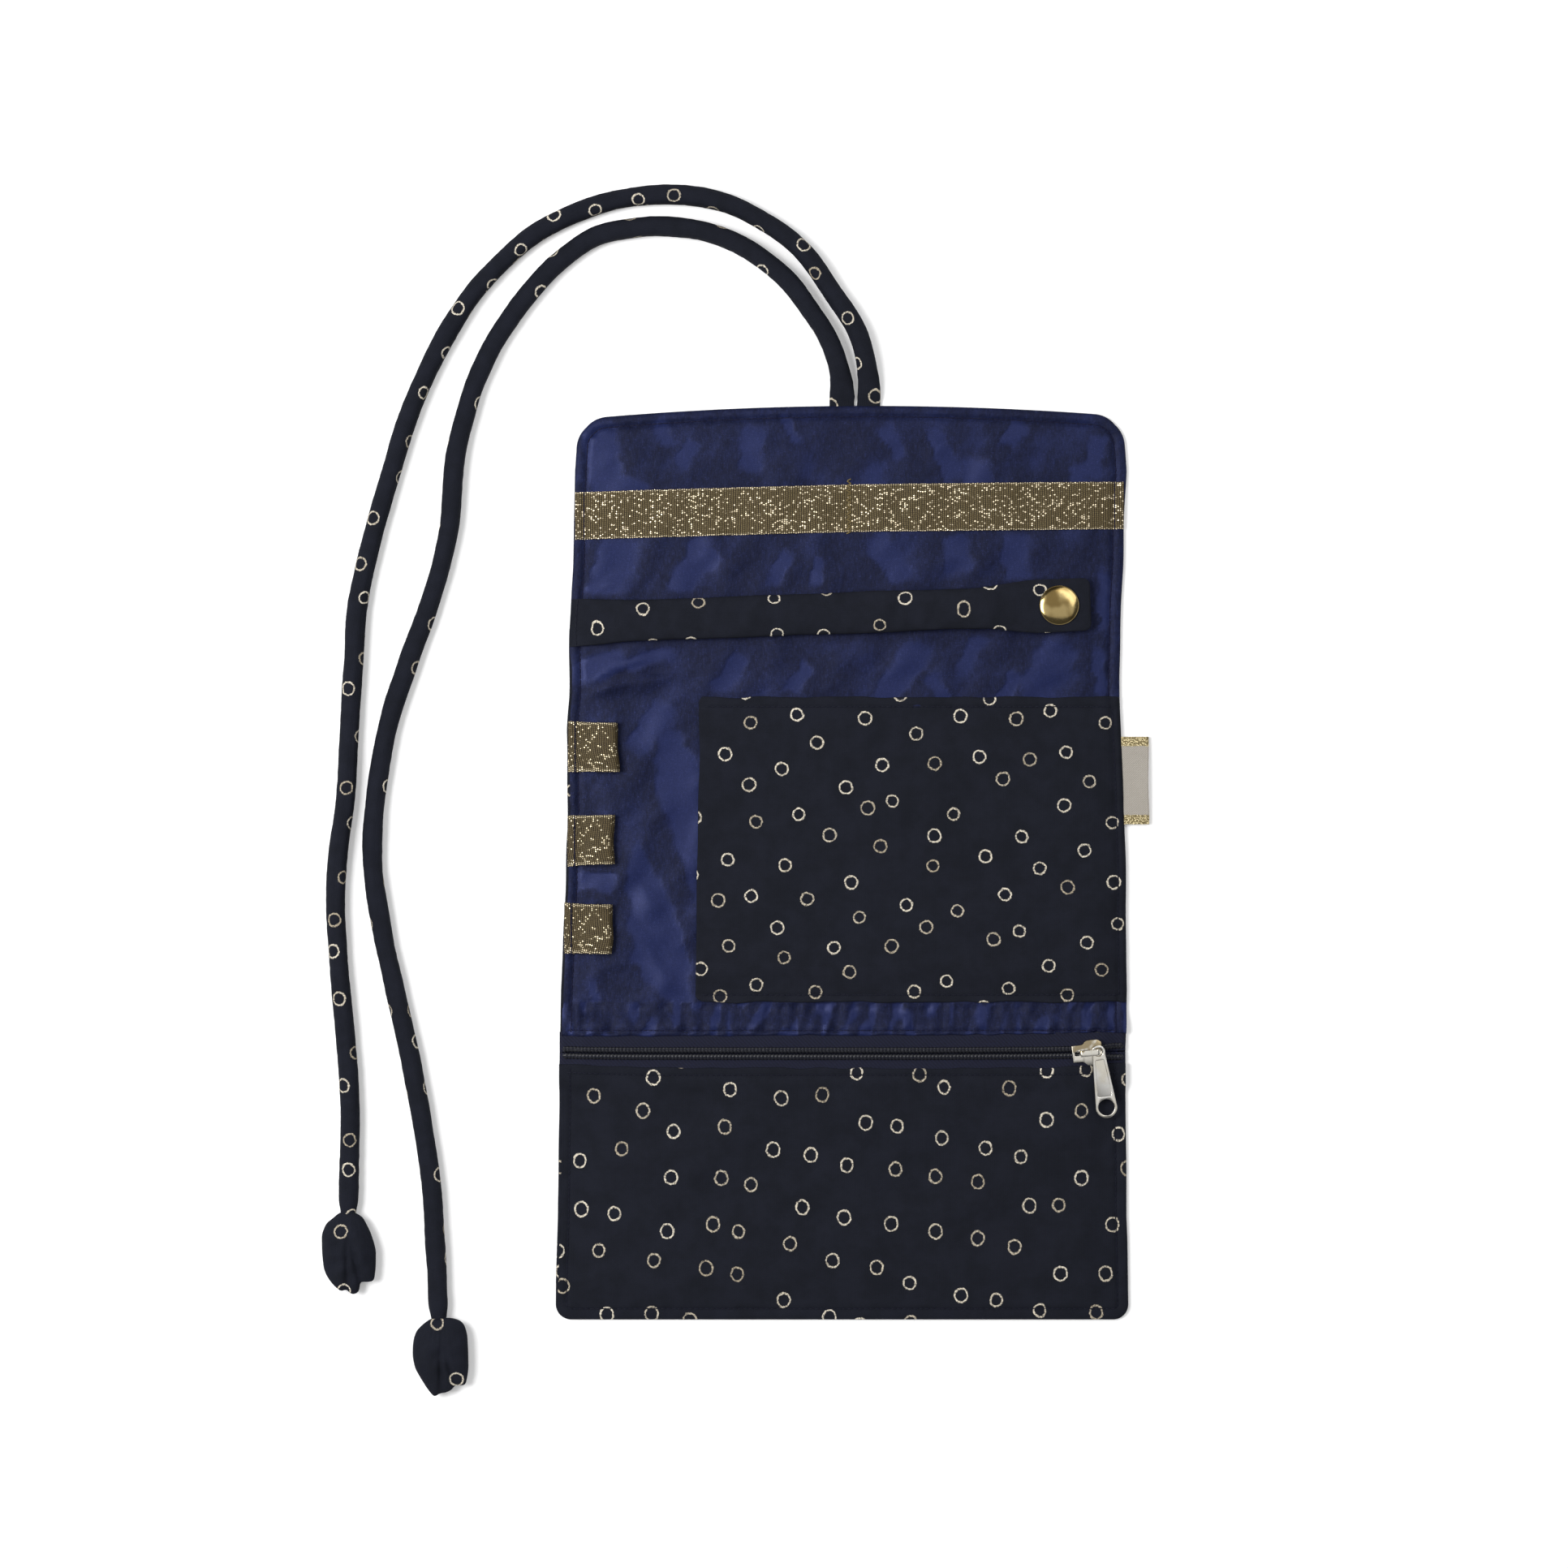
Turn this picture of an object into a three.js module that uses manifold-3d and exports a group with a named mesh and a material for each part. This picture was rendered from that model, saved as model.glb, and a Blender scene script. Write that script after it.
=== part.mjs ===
// Folding jewelry pouch of quilted cotton with a taffeta lining: a flap with a ribbon band and a snapped
// ring strap, a middle panel with ribbon loops and a patch pocket, a zip pocket, and two long fabric ties.
// Millimetres. The pouch lies open: X across it, Y from the zip pocket up to the flap, Z up.
// The origin is the centre of the middle panel's underside.

import * as THREE from 'three';
import { mergeVertices } from 'three/addons/utils/BufferGeometryUtils.js';
import Module from 'manifold-3d';

const wasm = await Module();
wasm.setup();

// Body cloth, from the outside in
const outerCloth = 0.5;
const wadding = 1.1;
const liningCloth = 0.4;
const seamAllowance = 3;
const layerGap = 0.3;
const edgeRound = 0.5;

// Body outline
const topWidth = 172.8;
const bottomWidth = 182.4;
const flapLength = 77.5;
const middleLength = 97.6;
const zipPanelLength = 92.1;
const topCornerRadius = 9;
const topBow = 3.7;
const bottomCornerRadius = 4;
const foldClearance = 0.75;
const foldGap = 0.4;

// Lurex ribbon: the band on the flap and the chain loops
const ribbonWidth = 15;
const ribbonCloth = 0.35;
const bandFromTop = 32.4;
const bandAngle = 1.1;
const bandRise = 1.2;
const bandTackX = 2.8;
const ribbonInset = 0.6;
const loopReach = 15.5;
const loopHollow = 4.3;
const loopPlies = 5.5;
const loopsFromFold = { top: 15.4, middle: 45.4, bottom: 73 };

// Ring strap
const strapFromFold = 8.4;
const strapFromEdge = 0.9;
const strapAngle = 1.75;
const strapFlatWidth = 15.2;
const strapRoundWidth = 12.4;
const strapRoundHeight = 3.7;
const strapRootHeight = 1.5;
const strapSnapHeight = 1.3;
const strapLift = 0.35;
const strapTaper = 22;
const strapPressed = 16;

// Snap fastener
const capDiameter = 12.5;
const capHeight = 1.5;
const shankDiameter = 2.6;
const socketDiameter = 10;
const socketHeight = 1.35;
const socketWall = 0.35;
const studDiameter = 9;
const studFlange = 0.4;
const nubDiameter = 3.5;
const nubHeight = 1.2;
const postDiameter = 8;
const postFlange = 0.3;
const postShankDiameter = 1.8;
const snapFromEnd = 10;
const snapFromEdge = 19.25;
const snapClearance = 0.35;

// Patch pocket
const patchWidth = 134.4;
const patchFromFold = 1.1;
const patchSlack = 0.5;
const patchHem = 4;
const patchCornerRadius = 1.5;

// Side label
const labelLength = 27.8;
const labelReach = 8.3;
const labelThickness = 0.5;
const labelTuck = 2.5;
const labelFromFold = 26.2;
const labelPlay = 0.1;

// Zip
const liningLip = 2;
const visibleTape = 10;
const tapeCloth = 0.5;
const zipFromLip = 4.8;
const coilWidth = 1.6;
const coilHeight = 1.1;
const zipSlit = 1;
const tapeTuck = 5;
const frontLipOverlap = 1;

// Zip slider and pull
const sliderLength = 9.4;
const sliderWidth = 7.9;
const sliderNeckWidth = 5.3;
const sliderNeckLength = 2.6;
const sliderPlate = 0.6;
const sliderWall = 0.42;
const sliderPlay = 0.15;
const sliderFromEdge = 7.9;
const postWidth = 0.5;
const postLength = 1.6;
const bridgeLength = 6.4;
const bridgeWidth = 2;
const bridgeLeg = 1;
const bridgeBar = 0.7;
const bridgeFromNeck = 2.2;
const pullLength = 23.3;
const pullThickness = 0.7;
const pullEyeBore = 2.8;
const pullEyeWall = 0.75;
const pullEndWidth = 6.8;
const pullHole = 5.2;
const pullPanelDepth = 0.15;
const pullSlope = 4;
const pullTurn = 8.6;
const pullRest = 0.45;
const pullPlay = 0.15;

// Ties
const tieDiameter = 6.2;
const tieSides = 10;
const tieSteps = 38;
const tieExitGap = 0.3;
const budLength = 25.4;
const budWidth = 17.4;
const budHeight = 8.4;
const budTilt = 6;
const budPetalDepth = 6;
const budMouthDepth = 4;

// Heights of the layers
const liningZ = outerCloth + wadding;
const faceZ = liningZ + liningCloth;
const patchLiningZ = faceZ + patchSlack;
const patchFrontZ = patchLiningZ + liningCloth;
const patchTopZ = patchFrontZ + outerCloth;
const lowerPlateZ = faceZ + sliderPlay;
const tapeZ = lowerPlateZ + sliderPlate + sliderPlay;
const tapeTopZ = tapeZ + tapeCloth;
const coilTopZ = tapeTopZ + coilHeight;
const upperPlateZ = coilTopZ + sliderPlay;
const sliderTopZ = upperPlateZ + sliderPlate;
const frontLipTopZ = tapeTopZ + outerCloth;

// Pull on the bridge
const degree = Math.PI / 180;
const pullEyeRadius = pullEyeBore / 2 + pullEyeWall;
const pullEyeTip = pullEyeRadius * Math.sin(pullSlope * degree);
const pullZ = sliderTopZ + pullRest;
const bridgeUnderZ = pullZ + pullThickness + pullEyeTip + pullPlay;
const bridgeTopZ = bridgeUnderZ + bridgeBar;

// Snap and strap, from the lining up
const socketZ = faceZ + studFlange + snapClearance;
const strapSnapZ = socketZ + socketHeight;
const capZ = strapSnapZ + strapSnapHeight;
const strapTopZ = Math.max(capZ + capHeight, faceZ + strapLift + strapRoundHeight);

// The spines are as wide as what lies between the panels when the pouch is folded
const loopHeight = loopHollow + 2 * ribbonCloth;
const zipOverPatch = bridgeTopZ - faceZ + patchTopZ - faceZ;
const zipOverLoops = frontLipTopZ - faceZ + loopHeight;
const lowerSpine = Math.max(zipOverPatch, zipOverLoops) + foldClearance;
const upperSpine = lowerSpine + faceZ + strapTopZ - faceZ + foldClearance;

// Fold lines and ends along Y
const middleTopY = middleLength / 2;
const middleBottomY = -middleLength / 2;
const labelY = middleTopY - labelFromFold;
const flapBottomY = middleTopY + upperSpine;
const topY = flapBottomY + flapLength;
const zipTopY = middleBottomY - lowerSpine;
const bottomY = zipTopY - zipPanelLength;
const liningEdgeY = zipTopY - liningLip;
const zipY = liningEdgeY - zipFromLip;
const frontEdgeY = liningEdgeY - visibleTape;
const tapeEndY = frontEdgeY - tapeTuck;

const materials = {
  print: new THREE.MeshStandardMaterial({ color: 0x1d1f28, roughness: 0.9, metalness: 0 }),
  lining: new THREE.MeshStandardMaterial({ color: 0x262a56, roughness: 0.45, metalness: 0 }),
  wadding: new THREE.MeshStandardMaterial({ color: 0xe6e2d8, roughness: 1, metalness: 0 }),
  ribbon: new THREE.MeshStandardMaterial({ color: 0x9b8858, roughness: 0.4, metalness: 0.5 }),
  zip: new THREE.MeshStandardMaterial({ color: 0x1e2230, roughness: 0.7, metalness: 0 }),
  nickel: new THREE.MeshStandardMaterial({ color: 0xc9c9c6, roughness: 0.25, metalness: 1 }),
  gold: new THREE.MeshStandardMaterial({ color: 0xd8cba4, roughness: 0.18, metalness: 1 }),
  label: new THREE.MeshStandardMaterial({ color: 0xb9b0a4, roughness: 0.8, metalness: 0 }),
};

// Solids

function toSolid(geometry) {
  const bare = geometry.clone();
  bare.deleteAttribute('normal');
  bare.deleteAttribute('uv');
  const merged = mergeVertices(bare, 1e-5);
  return new wasm.Manifold(new wasm.Mesh({
    numProp: 3,
    vertProperties: Float32Array.from(merged.attributes.position.array),
    triVerts: Uint32Array.from(merged.index.array),
  }));
}

function toGeometry(solid) {
  const { vertProperties, triVerts } = solid.getMesh();
  const geometry = new THREE.BufferGeometry();
  geometry.setAttribute('position', new THREE.BufferAttribute(vertProperties, 3));
  geometry.setIndex(new THREE.BufferAttribute(triVerts, 1));
  geometry.computeVertexNormals();
  return geometry;
}

function named(name, shape, material) {
  const geometry = shape.isBufferGeometry ? shape : toGeometry(shape);
  const mesh = new THREE.Mesh(geometry, material);
  mesh.name = name;
  return mesh;
}

function box(x, y, z) {
  const geometry = new THREE.BoxGeometry(x[1] - x[0], y[1] - y[0], z[1] - z[0]);
  geometry.translate((x[0] + x[1]) / 2, (y[0] + y[1]) / 2, (z[0] + z[1]) / 2);
  return toSolid(geometry);
}

// A plan outline raised from one height to another
function raised(outline, low, high, curveSegments = 8) {
  const geometry = new THREE.ExtrudeGeometry(outline, {
    depth: high - low, bevelEnabled: false, curveSegments,
  });
  geometry.translate(0, 0, low);
  return toSolid(geometry);
}

// A side outline drawn in X and Z, run along Y
function runAlongY(outline, low, high, curveSegments = 8) {
  const geometry = new THREE.ExtrudeGeometry(outline, {
    depth: high - low, bevelEnabled: false, curveSegments,
  });
  geometry.applyMatrix4(new THREE.Matrix4().makeBasis(
    new THREE.Vector3(1, 0, 0), new THREE.Vector3(0, 0, 1), new THREE.Vector3(0, -1, 0),
  ));
  geometry.translate(0, high, 0);
  return toSolid(geometry);
}

function disc(radius, low, high, x = 0, y = 0) {
  const geometry = new THREE.CylinderGeometry(radius, radius, high - low, 32);
  geometry.rotateX(Math.PI / 2);
  geometry.translate(x, y, (low + high) / 2);
  return toSolid(geometry);
}

function turned(profile, segments = 40) {
  const points = profile.map(([r, z]) => new THREE.Vector2(r, z));
  const geometry = new THREE.LatheGeometry(points, segments);
  geometry.rotateX(Math.PI / 2);
  return toSolid(geometry);
}

// A skin through rings of equal point counts, with flat ends
function loft(rings) {
  const count = rings[0].length;
  const index = [];
  for (let r = 0; r < rings.length - 1; r += 1) {
    for (let i = 0; i < count; i += 1) {
      const a = r * count + i;
      const b = r * count + (i + 1) % count;
      index.push(a, b, a + count, b, b + count, a + count);
    }
  }
  const last = (rings.length - 1) * count;
  for (let i = 1; i < count - 1; i += 1) {
    index.push(0, i + 1, i);
    index.push(last, last + i, last + i + 1);
  }
  const geometry = new THREE.BufferGeometry();
  const places = rings.flat().flatMap((point) => point.toArray());
  geometry.setAttribute('position', new THREE.Float32BufferAttribute(places, 3));
  geometry.setIndex(index);
  return toSolid(geometry);
}

function smooth(t) {
  const u = Math.min(Math.max(t, 0), 1);
  return u * u * (3 - 2 * u);
}

// Body outline and panels

function halfWidth(y) {
  const share = (y - bottomY) / (topY - bottomY);
  return (bottomWidth + (topWidth - bottomWidth) * share) / 2;
}

function pouchOutline(inset = 0) {
  const low = bottomY + inset;
  const high = topY - inset;
  const shoulder = high - topBow;
  const bottomRadius = Math.max(bottomCornerRadius - inset, 0.5);
  const topRadius = Math.max(topCornerRadius - inset, 0.5);
  const edge = (y) => halfWidth(y) - inset;
  const outline = new THREE.Shape();
  outline.moveTo(-edge(low) + bottomRadius, low);
  outline.lineTo(edge(low) - bottomRadius, low);
  outline.quadraticCurveTo(edge(low), low, edge(low + bottomRadius), low + bottomRadius);
  outline.lineTo(edge(shoulder - topRadius), shoulder - topRadius);
  outline.quadraticCurveTo(edge(shoulder), shoulder, edge(shoulder) - topRadius, shoulder);
  outline.quadraticCurveTo(0, high + topBow, -edge(shoulder) + topRadius, shoulder);
  outline.quadraticCurveTo(-edge(shoulder), shoulder, -edge(shoulder - topRadius), shoulder - topRadius);
  outline.lineTo(-edge(low + bottomRadius), low + bottomRadius);
  outline.quadraticCurveTo(-edge(low), low, -edge(low) + bottomRadius, low);
  return outline;
}

// One layer of the pouch between two fold lines
function layer(inset, low, high, fromY, toY) {
  const reach = bottomWidth + topWidth;
  return raised(pouchOutline(inset), low, high)
    .intersect(box([-reach, reach], [fromY, toY], [low - 1, high + 1]));
}

// The outer cloth: a floor with a softened edge and the turned seam allowance standing on it
function outerShell(fromY, toY, top) {
  const shell = layer(edgeRound, 0, edgeRound, fromY, toY)
    .add(layer(0, edgeRound, top, fromY, toY));
  const reach = bottomWidth + topWidth;
  const hollow = raised(pouchOutline(seamAllowance), outerCloth, top + 1)
    .intersect(box([-reach, reach], [fromY - 1, toY + 1], [0, top + 2]));
  return shell.subtract(hollow);
}

// Fillings and linings lie inside the seam allowance, or right across it
function filling(fromY, toY) {
  return layer(seamAllowance + layerGap, outerCloth, liningZ, fromY, toY);
}

function panel(name, fromY, toY) {
  const group = new THREE.Group();
  group.add(named(`${name}_outer`, outerShell(fromY, toY, liningZ), materials.print));
  group.add(named(`${name}_wadding`, filling(fromY, toY), materials.wadding));
  group.add(named(`${name}_lining`, layer(0, liningZ, faceZ, fromY, toY), materials.lining));
  return group;
}

// Flap

const strapRootY = flapBottomY + strapFromFold;
const strapRootX = -halfWidth(strapRootY) + strapFromEdge;
const snapX = halfWidth(strapRootY) - snapFromEdge;
const snapY = strapRootY + (snapX - strapRootX) * Math.tan(strapAngle * degree);
const strapLength = (snapX - strapRootX) / Math.cos(strapAngle * degree) + snapFromEnd;

function ribbonBand() {
  const start = -halfWidth(topY) - ribbonWidth;
  const end = halfWidth(topY) + ribbonWidth;
  const left = -halfWidth(topY - bandFromTop);
  const right = -left;
  const rise = (x) => {
    if (x <= left || x >= right) return 0;
    const from = x < bandTackX ? left : bandTackX;
    const to = x < bandTackX ? bandTackX : right;
    const span = (x - from) / (to - from);
    return bandRise * Math.sin(Math.PI * span) ** 2;
  };
  const steps = 30;
  const xs = Array.from({ length: steps + 1 }, (_, i) => start + (end - start) * i / steps);
  const under = xs.map((x) => new THREE.Vector2(x, rise(x)));
  const over = xs.map((x) => new THREE.Vector2(x, rise(x) + ribbonCloth)).reverse();
  const band = runAlongY(new THREE.Shape([...under, ...over]), -ribbonWidth / 2, ribbonWidth / 2)
    .rotate([0, 0, bandAngle])
    .translate([0, topY - bandFromTop, faceZ]);
  return band.intersect(raised(pouchOutline(ribbonInset), faceZ - 1, faceZ + bandRise + 1));
}

function snapStud() {
  const flange = studDiameter / 2;
  const nub = nubDiameter / 2;
  const bore = postShankDiameter / 2 + layerGap;
  const boreTop = studFlange + nubHeight - ribbonCloth;
  return turned([
    [0, boreTop], [bore, boreTop], [bore, 0], [flange, 0], [flange, studFlange],
    [nub - 0.15, studFlange], [nub, studFlange + nubHeight - 0.4],
    [nub - 0.3, studFlange + nubHeight], [0, studFlange + nubHeight],
  ]);
}

// The rivet behind the lining: a flange in the wadding and a shank up into the stud
function snapPost() {
  const shankTop = liningCloth + studFlange + nubHeight / 2;
  return turned([
    [0, -postFlange], [postDiameter / 2, -postFlange], [postDiameter / 2, 0],
    [postShankDiameter / 2, 0], [postShankDiameter / 2, shankTop], [0, shankTop],
  ]);
}

function flap() {
  const group = panel('flap', flapBottomY, topY);
  const [, fill, lining] = group.children;
  const recessFloor = liningZ - postFlange - layerGap;
  const recess = disc(postDiameter / 2 + layerGap, recessFloor, liningZ + 1, snapX, snapY);
  const hole = disc(postShankDiameter / 2 + layerGap, liningZ - 1, faceZ + 1, snapX, snapY);
  fill.geometry = toGeometry(toSolid(fill.geometry).subtract(recess));
  lining.geometry = toGeometry(toSolid(lining.geometry).subtract(hole));
  group.add(named('ribbon_band', ribbonBand(), materials.ribbon));
  const stud = named('snap_stud', snapStud(), materials.gold);
  stud.position.set(snapX, snapY, faceZ);
  const post = named('snap_post', snapPost(), materials.gold);
  post.position.set(snapX, snapY, liningZ);
  group.add(stud, post);
  return group;
}

// Ring strap, drawn along +X from its sewn end

function strapSize(s) {
  const pressedFrom = strapLength - strapPressed;
  const swell = smooth(s / strapTaper) * (1 - smooth((s - pressedFrom + strapTaper) / strapTaper));
  const climb = smooth((s - pressedFrom + 2 * strapTaper) / (2 * strapTaper));
  const flatHeight = strapRootHeight + (strapSnapHeight - strapRootHeight) * smooth(s / pressedFrom);
  const corner = strapLength - s < strapRootHeight ? strapRootHeight * 2 : 0;
  return {
    width: strapFlatWidth + (strapRoundWidth - strapFlatWidth) * swell - corner,
    height: flatHeight + (strapRoundHeight - flatHeight) * swell,
    under: strapLift * smooth(s / strapTaper) * (1 - climb) + (strapSnapZ - faceZ) * climb,
  };
}

// A flat-topped ring with round sides across the strap
function strapRing(s, shrink) {
  const { width, height, under } = strapSize(s);
  const radius = (height - 2 * shrink) / 2;
  const flat = width / 2 - shrink - radius;
  const side = [-90, -60, -30, 0, 30, 60, 90].map((angle) => angle * degree);
  const half = (sign) => side.map((angle) => new THREE.Vector3(
    s,
    sign * (flat + radius * Math.cos(angle)),
    faceZ + under + height / 2 + sign * radius * Math.sin(angle),
  ));
  return [...half(1), ...half(-1)];
}

function strapStations(from, to, steps) {
  return Array.from({ length: steps + 1 }, (_, i) => from + (to - from) * i / steps);
}

function ringStrap() {
  const group = new THREE.Group();
  const pressedFrom = strapLength - strapPressed;
  const tip = strapLength - strapRootHeight / 2;
  const outside = [
    ...strapStations(0, strapTaper, 5), strapLength / 2,
    ...strapStations(pressedFrom - 2 * strapTaper, pressedFrom, 8), tip - strapRootHeight, strapLength,
  ];
  const inside = [
    -1, ...strapStations(0, strapTaper, 5), strapLength / 2,
    ...strapStations(pressedFrom - 2 * strapTaper, pressedFrom - strapTaper / 2, 6),
  ];
  const shankHole = disc(shankDiameter / 2 + layerGap, strapSnapZ - 1, capZ + 1, strapLength - snapFromEnd);
  const cover = loft(outside.map((s) => strapRing(s, 0)))
    .subtract(loft(inside.map((s) => strapRing(s, outerCloth))))
    .subtract(shankHole);
  const filled = inside.filter((s) => s > strapTaper / 2);
  const fill = loft(filled.map((s) => strapRing(s, outerCloth + layerGap)));
  group.add(named('strap_cover', cover, materials.print));
  group.add(named('strap_wadding', fill, materials.wadding));

  const shank = shankDiameter / 2;
  const shankFoot = strapSnapZ - socketWall / 2;
  const cap = named('snap_cap', turned([
    [0, shankFoot - capZ], [shank, shankFoot - capZ], [shank, 0],
    [capDiameter / 2 - 0.3, 0], [capDiameter / 2, 0.25], [capDiameter / 2 - 0.5, 0.75],
    [capDiameter / 2 * 0.62, capHeight - 0.25], [capDiameter / 2 * 0.3, capHeight - 0.04], [0, capHeight],
  ]), materials.gold);
  cap.position.set(strapLength - snapFromEnd, 0, capZ);

  const bore = nubDiameter / 2 + snapClearance;
  const throat = shank + layerGap;
  const socket = named('snap_socket', turned([
    [throat, socketHeight], [throat, socketHeight - socketWall], [bore, socketHeight - socketWall],
    [bore, 0], [socketDiameter / 2 - 0.3, 0], [socketDiameter / 2, 0.3],
    [socketDiameter / 2, socketHeight], [throat, socketHeight],
  ]), materials.gold);
  socket.position.set(strapLength - snapFromEnd, 0, socketZ);
  group.add(cap, socket);
  group.position.set(strapRootX, strapRootY, 0);
  group.rotation.z = strapAngle * degree;
  return group;
}

// Middle panel

function patchPocket() {
  const right = halfWidth(middleTopY) - ribbonInset;
  const left = right - patchWidth;
  const top = middleTopY - foldGap;
  const low = middleBottomY + patchFromFold;
  const mouth = new THREE.Shape();
  mouth.moveTo(left + patchCornerRadius, low);
  mouth.lineTo(right, low);
  mouth.lineTo(right, top);
  mouth.lineTo(left + patchCornerRadius, top);
  mouth.quadraticCurveTo(left, top, left, top - patchCornerRadius);
  mouth.lineTo(left, low + patchCornerRadius);
  mouth.quadraticCurveTo(left, low, left + patchCornerRadius, low);
  const hollow = box([left - 1, right - patchHem], [low + patchHem, top - patchHem], [0, patchLiningZ]);
  const backing = raised(mouth, faceZ, patchFrontZ).subtract(hollow);
  return [
    named('patch_pocket_front', raised(mouth, patchFrontZ, patchTopZ), materials.print),
    named('patch_pocket_lining', backing, materials.lining),
  ];
}

// A folded ribbon, sewn at its left end and sprung open at its fold
function chainLoop(name) {
  const outerRadius = loopHeight / 2;
  const innerRadius = loopHollow / 2;
  const foldX = loopReach - outerRadius;
  const plateX = foldX - loopPlies;
  const rootX = 2;
  const shape = new THREE.Shape();
  shape.moveTo(0, 0);
  shape.lineTo(foldX, 0);
  shape.absarc(foldX, outerRadius, outerRadius, -Math.PI / 2, Math.PI / 2, false);
  shape.lineTo(plateX, loopHeight);
  shape.lineTo(rootX, 2 * ribbonCloth);
  shape.lineTo(0, 2 * ribbonCloth);
  shape.closePath();
  const hollow = new THREE.Path();
  hollow.moveTo(rootX + 2, ribbonCloth);
  hollow.lineTo(plateX + ribbonCloth / 2, loopHeight - ribbonCloth);
  hollow.lineTo(foldX, loopHeight - ribbonCloth);
  hollow.absarc(foldX, outerRadius, innerRadius, Math.PI / 2, -Math.PI / 2, true);
  hollow.lineTo(rootX + 2, ribbonCloth);
  shape.holes.push(hollow);
  return named(name, runAlongY(shape, -ribbonWidth / 2, ribbonWidth / 2, 10), materials.ribbon);
}

function middle() {
  const group = panel('middle', middleBottomY, middleTopY);
  const labelEdge = halfWidth(labelY);
  const labelTop = liningZ - labelPlay;
  const labelSpan = [labelY - labelLength / 2, labelY + labelLength / 2];
  const slot = box(
    [labelEdge - labelTuck - layerGap, labelEdge + labelReach],
    [labelSpan[0] - layerGap, labelSpan[1] + layerGap],
    [labelTop - labelThickness - labelPlay, liningZ + 1],
  );
  const outer = group.children[0];
  outer.geometry = toGeometry(toSolid(outer.geometry).subtract(slot));
  const label = box(
    [labelEdge - labelTuck, labelEdge + labelReach], labelSpan, [labelTop - labelThickness, labelTop],
  );
  group.add(named('side_label', label, materials.label));
  group.add(...patchPocket());
  for (const [place, fromFold] of Object.entries(loopsFromFold)) {
    const loop = chainLoop(`chain_loop_${place}`);
    const y = middleTopY - fromFold;
    loop.position.set(-halfWidth(y) + ribbonInset + 0.3, y, faceZ);
    group.add(loop);
  }
  return group;
}

// Zip panel

function zipPanel() {
  const group = new THREE.Group();
  const inside = seamAllowance + layerGap;
  const reach = bottomWidth;
  const foldStrip = box([-reach, reach], [zipTopY - foldGap, zipTopY + 1], [faceZ, tapeTopZ]);
  const shell = outerShell(bottomY, zipTopY, tapeZ).subtract(foldStrip);
  group.add(named('zip_panel_outer', shell, materials.print));
  group.add(named('zip_panel_wadding', filling(bottomY, zipTopY), materials.wadding));
  group.add(named('zip_pocket_back', layer(inside, liningZ, faceZ, bottomY, zipTopY), materials.lining));

  const footY = zipTopY - foldGap;
  const lipZ = tapeTopZ + liningCloth;
  const footWidth = liningLip / 2;
  const lip = layer(inside, faceZ, lipZ, footY - footWidth, footY)
    .add(layer(0, tapeTopZ, lipZ, liningEdgeY, footY));
  group.add(named('zip_lining_edge', lip, materials.lining));

  const upperTape = layer(0, tapeZ, tapeTopZ, zipY + zipSlit / 2, footY - footWidth);
  const lowerTape = layer(0, tapeZ, tapeTopZ, tapeEndY, zipY - zipSlit / 2);
  group.add(named('zip_tape_upper', upperTape, materials.zip));
  group.add(named('zip_tape_lower', lowerTape, materials.zip));

  const coilNear = zipSlit / 2;
  const coilFar = coilNear + coilWidth;
  const upperCoil = layer(ribbonInset, tapeTopZ, coilTopZ, zipY + coilNear, zipY + coilFar);
  const lowerCoil = layer(ribbonInset, tapeTopZ, coilTopZ, zipY - coilFar, zipY - coilNear);
  group.add(named('zip_coil_upper', upperCoil, materials.zip));
  group.add(named('zip_coil_lower', lowerCoil, materials.zip));

  const front = layer(0, tapeZ, tapeTopZ, bottomY, tapeEndY)
    .add(layer(0, tapeTopZ, frontLipTopZ, tapeEndY - frontLipOverlap, frontEdgeY));
  const frontLining = layer(inside, tapeZ - liningCloth, tapeZ, bottomY, frontEdgeY);
  group.add(named('zip_pocket_front', front, materials.print));
  group.add(named('zip_pocket_front_lining', frontLining, materials.lining));
  return group;
}

// Zip slider, drawn along +X from its neck on the zip line

function sliderOutline(inset) {
  const neck = sliderNeckWidth / 2 - inset;
  const shoulder = sliderWidth / 2 - inset;
  const rise = sliderNeckLength + sliderWidth / 2 - sliderNeckWidth / 4;
  const outline = new THREE.Shape();
  outline.moveTo(0, -neck);
  outline.lineTo(sliderNeckLength, -neck);
  outline.bezierCurveTo(sliderNeckLength + 1.4, -neck, rise - 1.4, -shoulder, rise, -shoulder);
  outline.lineTo(sliderLength - 1.2, -shoulder);
  outline.lineTo(sliderLength, -shoulder + 0.9);
  outline.lineTo(sliderLength, shoulder - 0.9);
  outline.lineTo(sliderLength - 1.2, shoulder);
  outline.lineTo(rise, shoulder);
  outline.bezierCurveTo(rise - 1.4, shoulder, sliderNeckLength + 1.4, neck, sliderNeckLength, neck);
  outline.lineTo(0, neck);
  outline.closePath();
  return outline;
}

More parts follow.
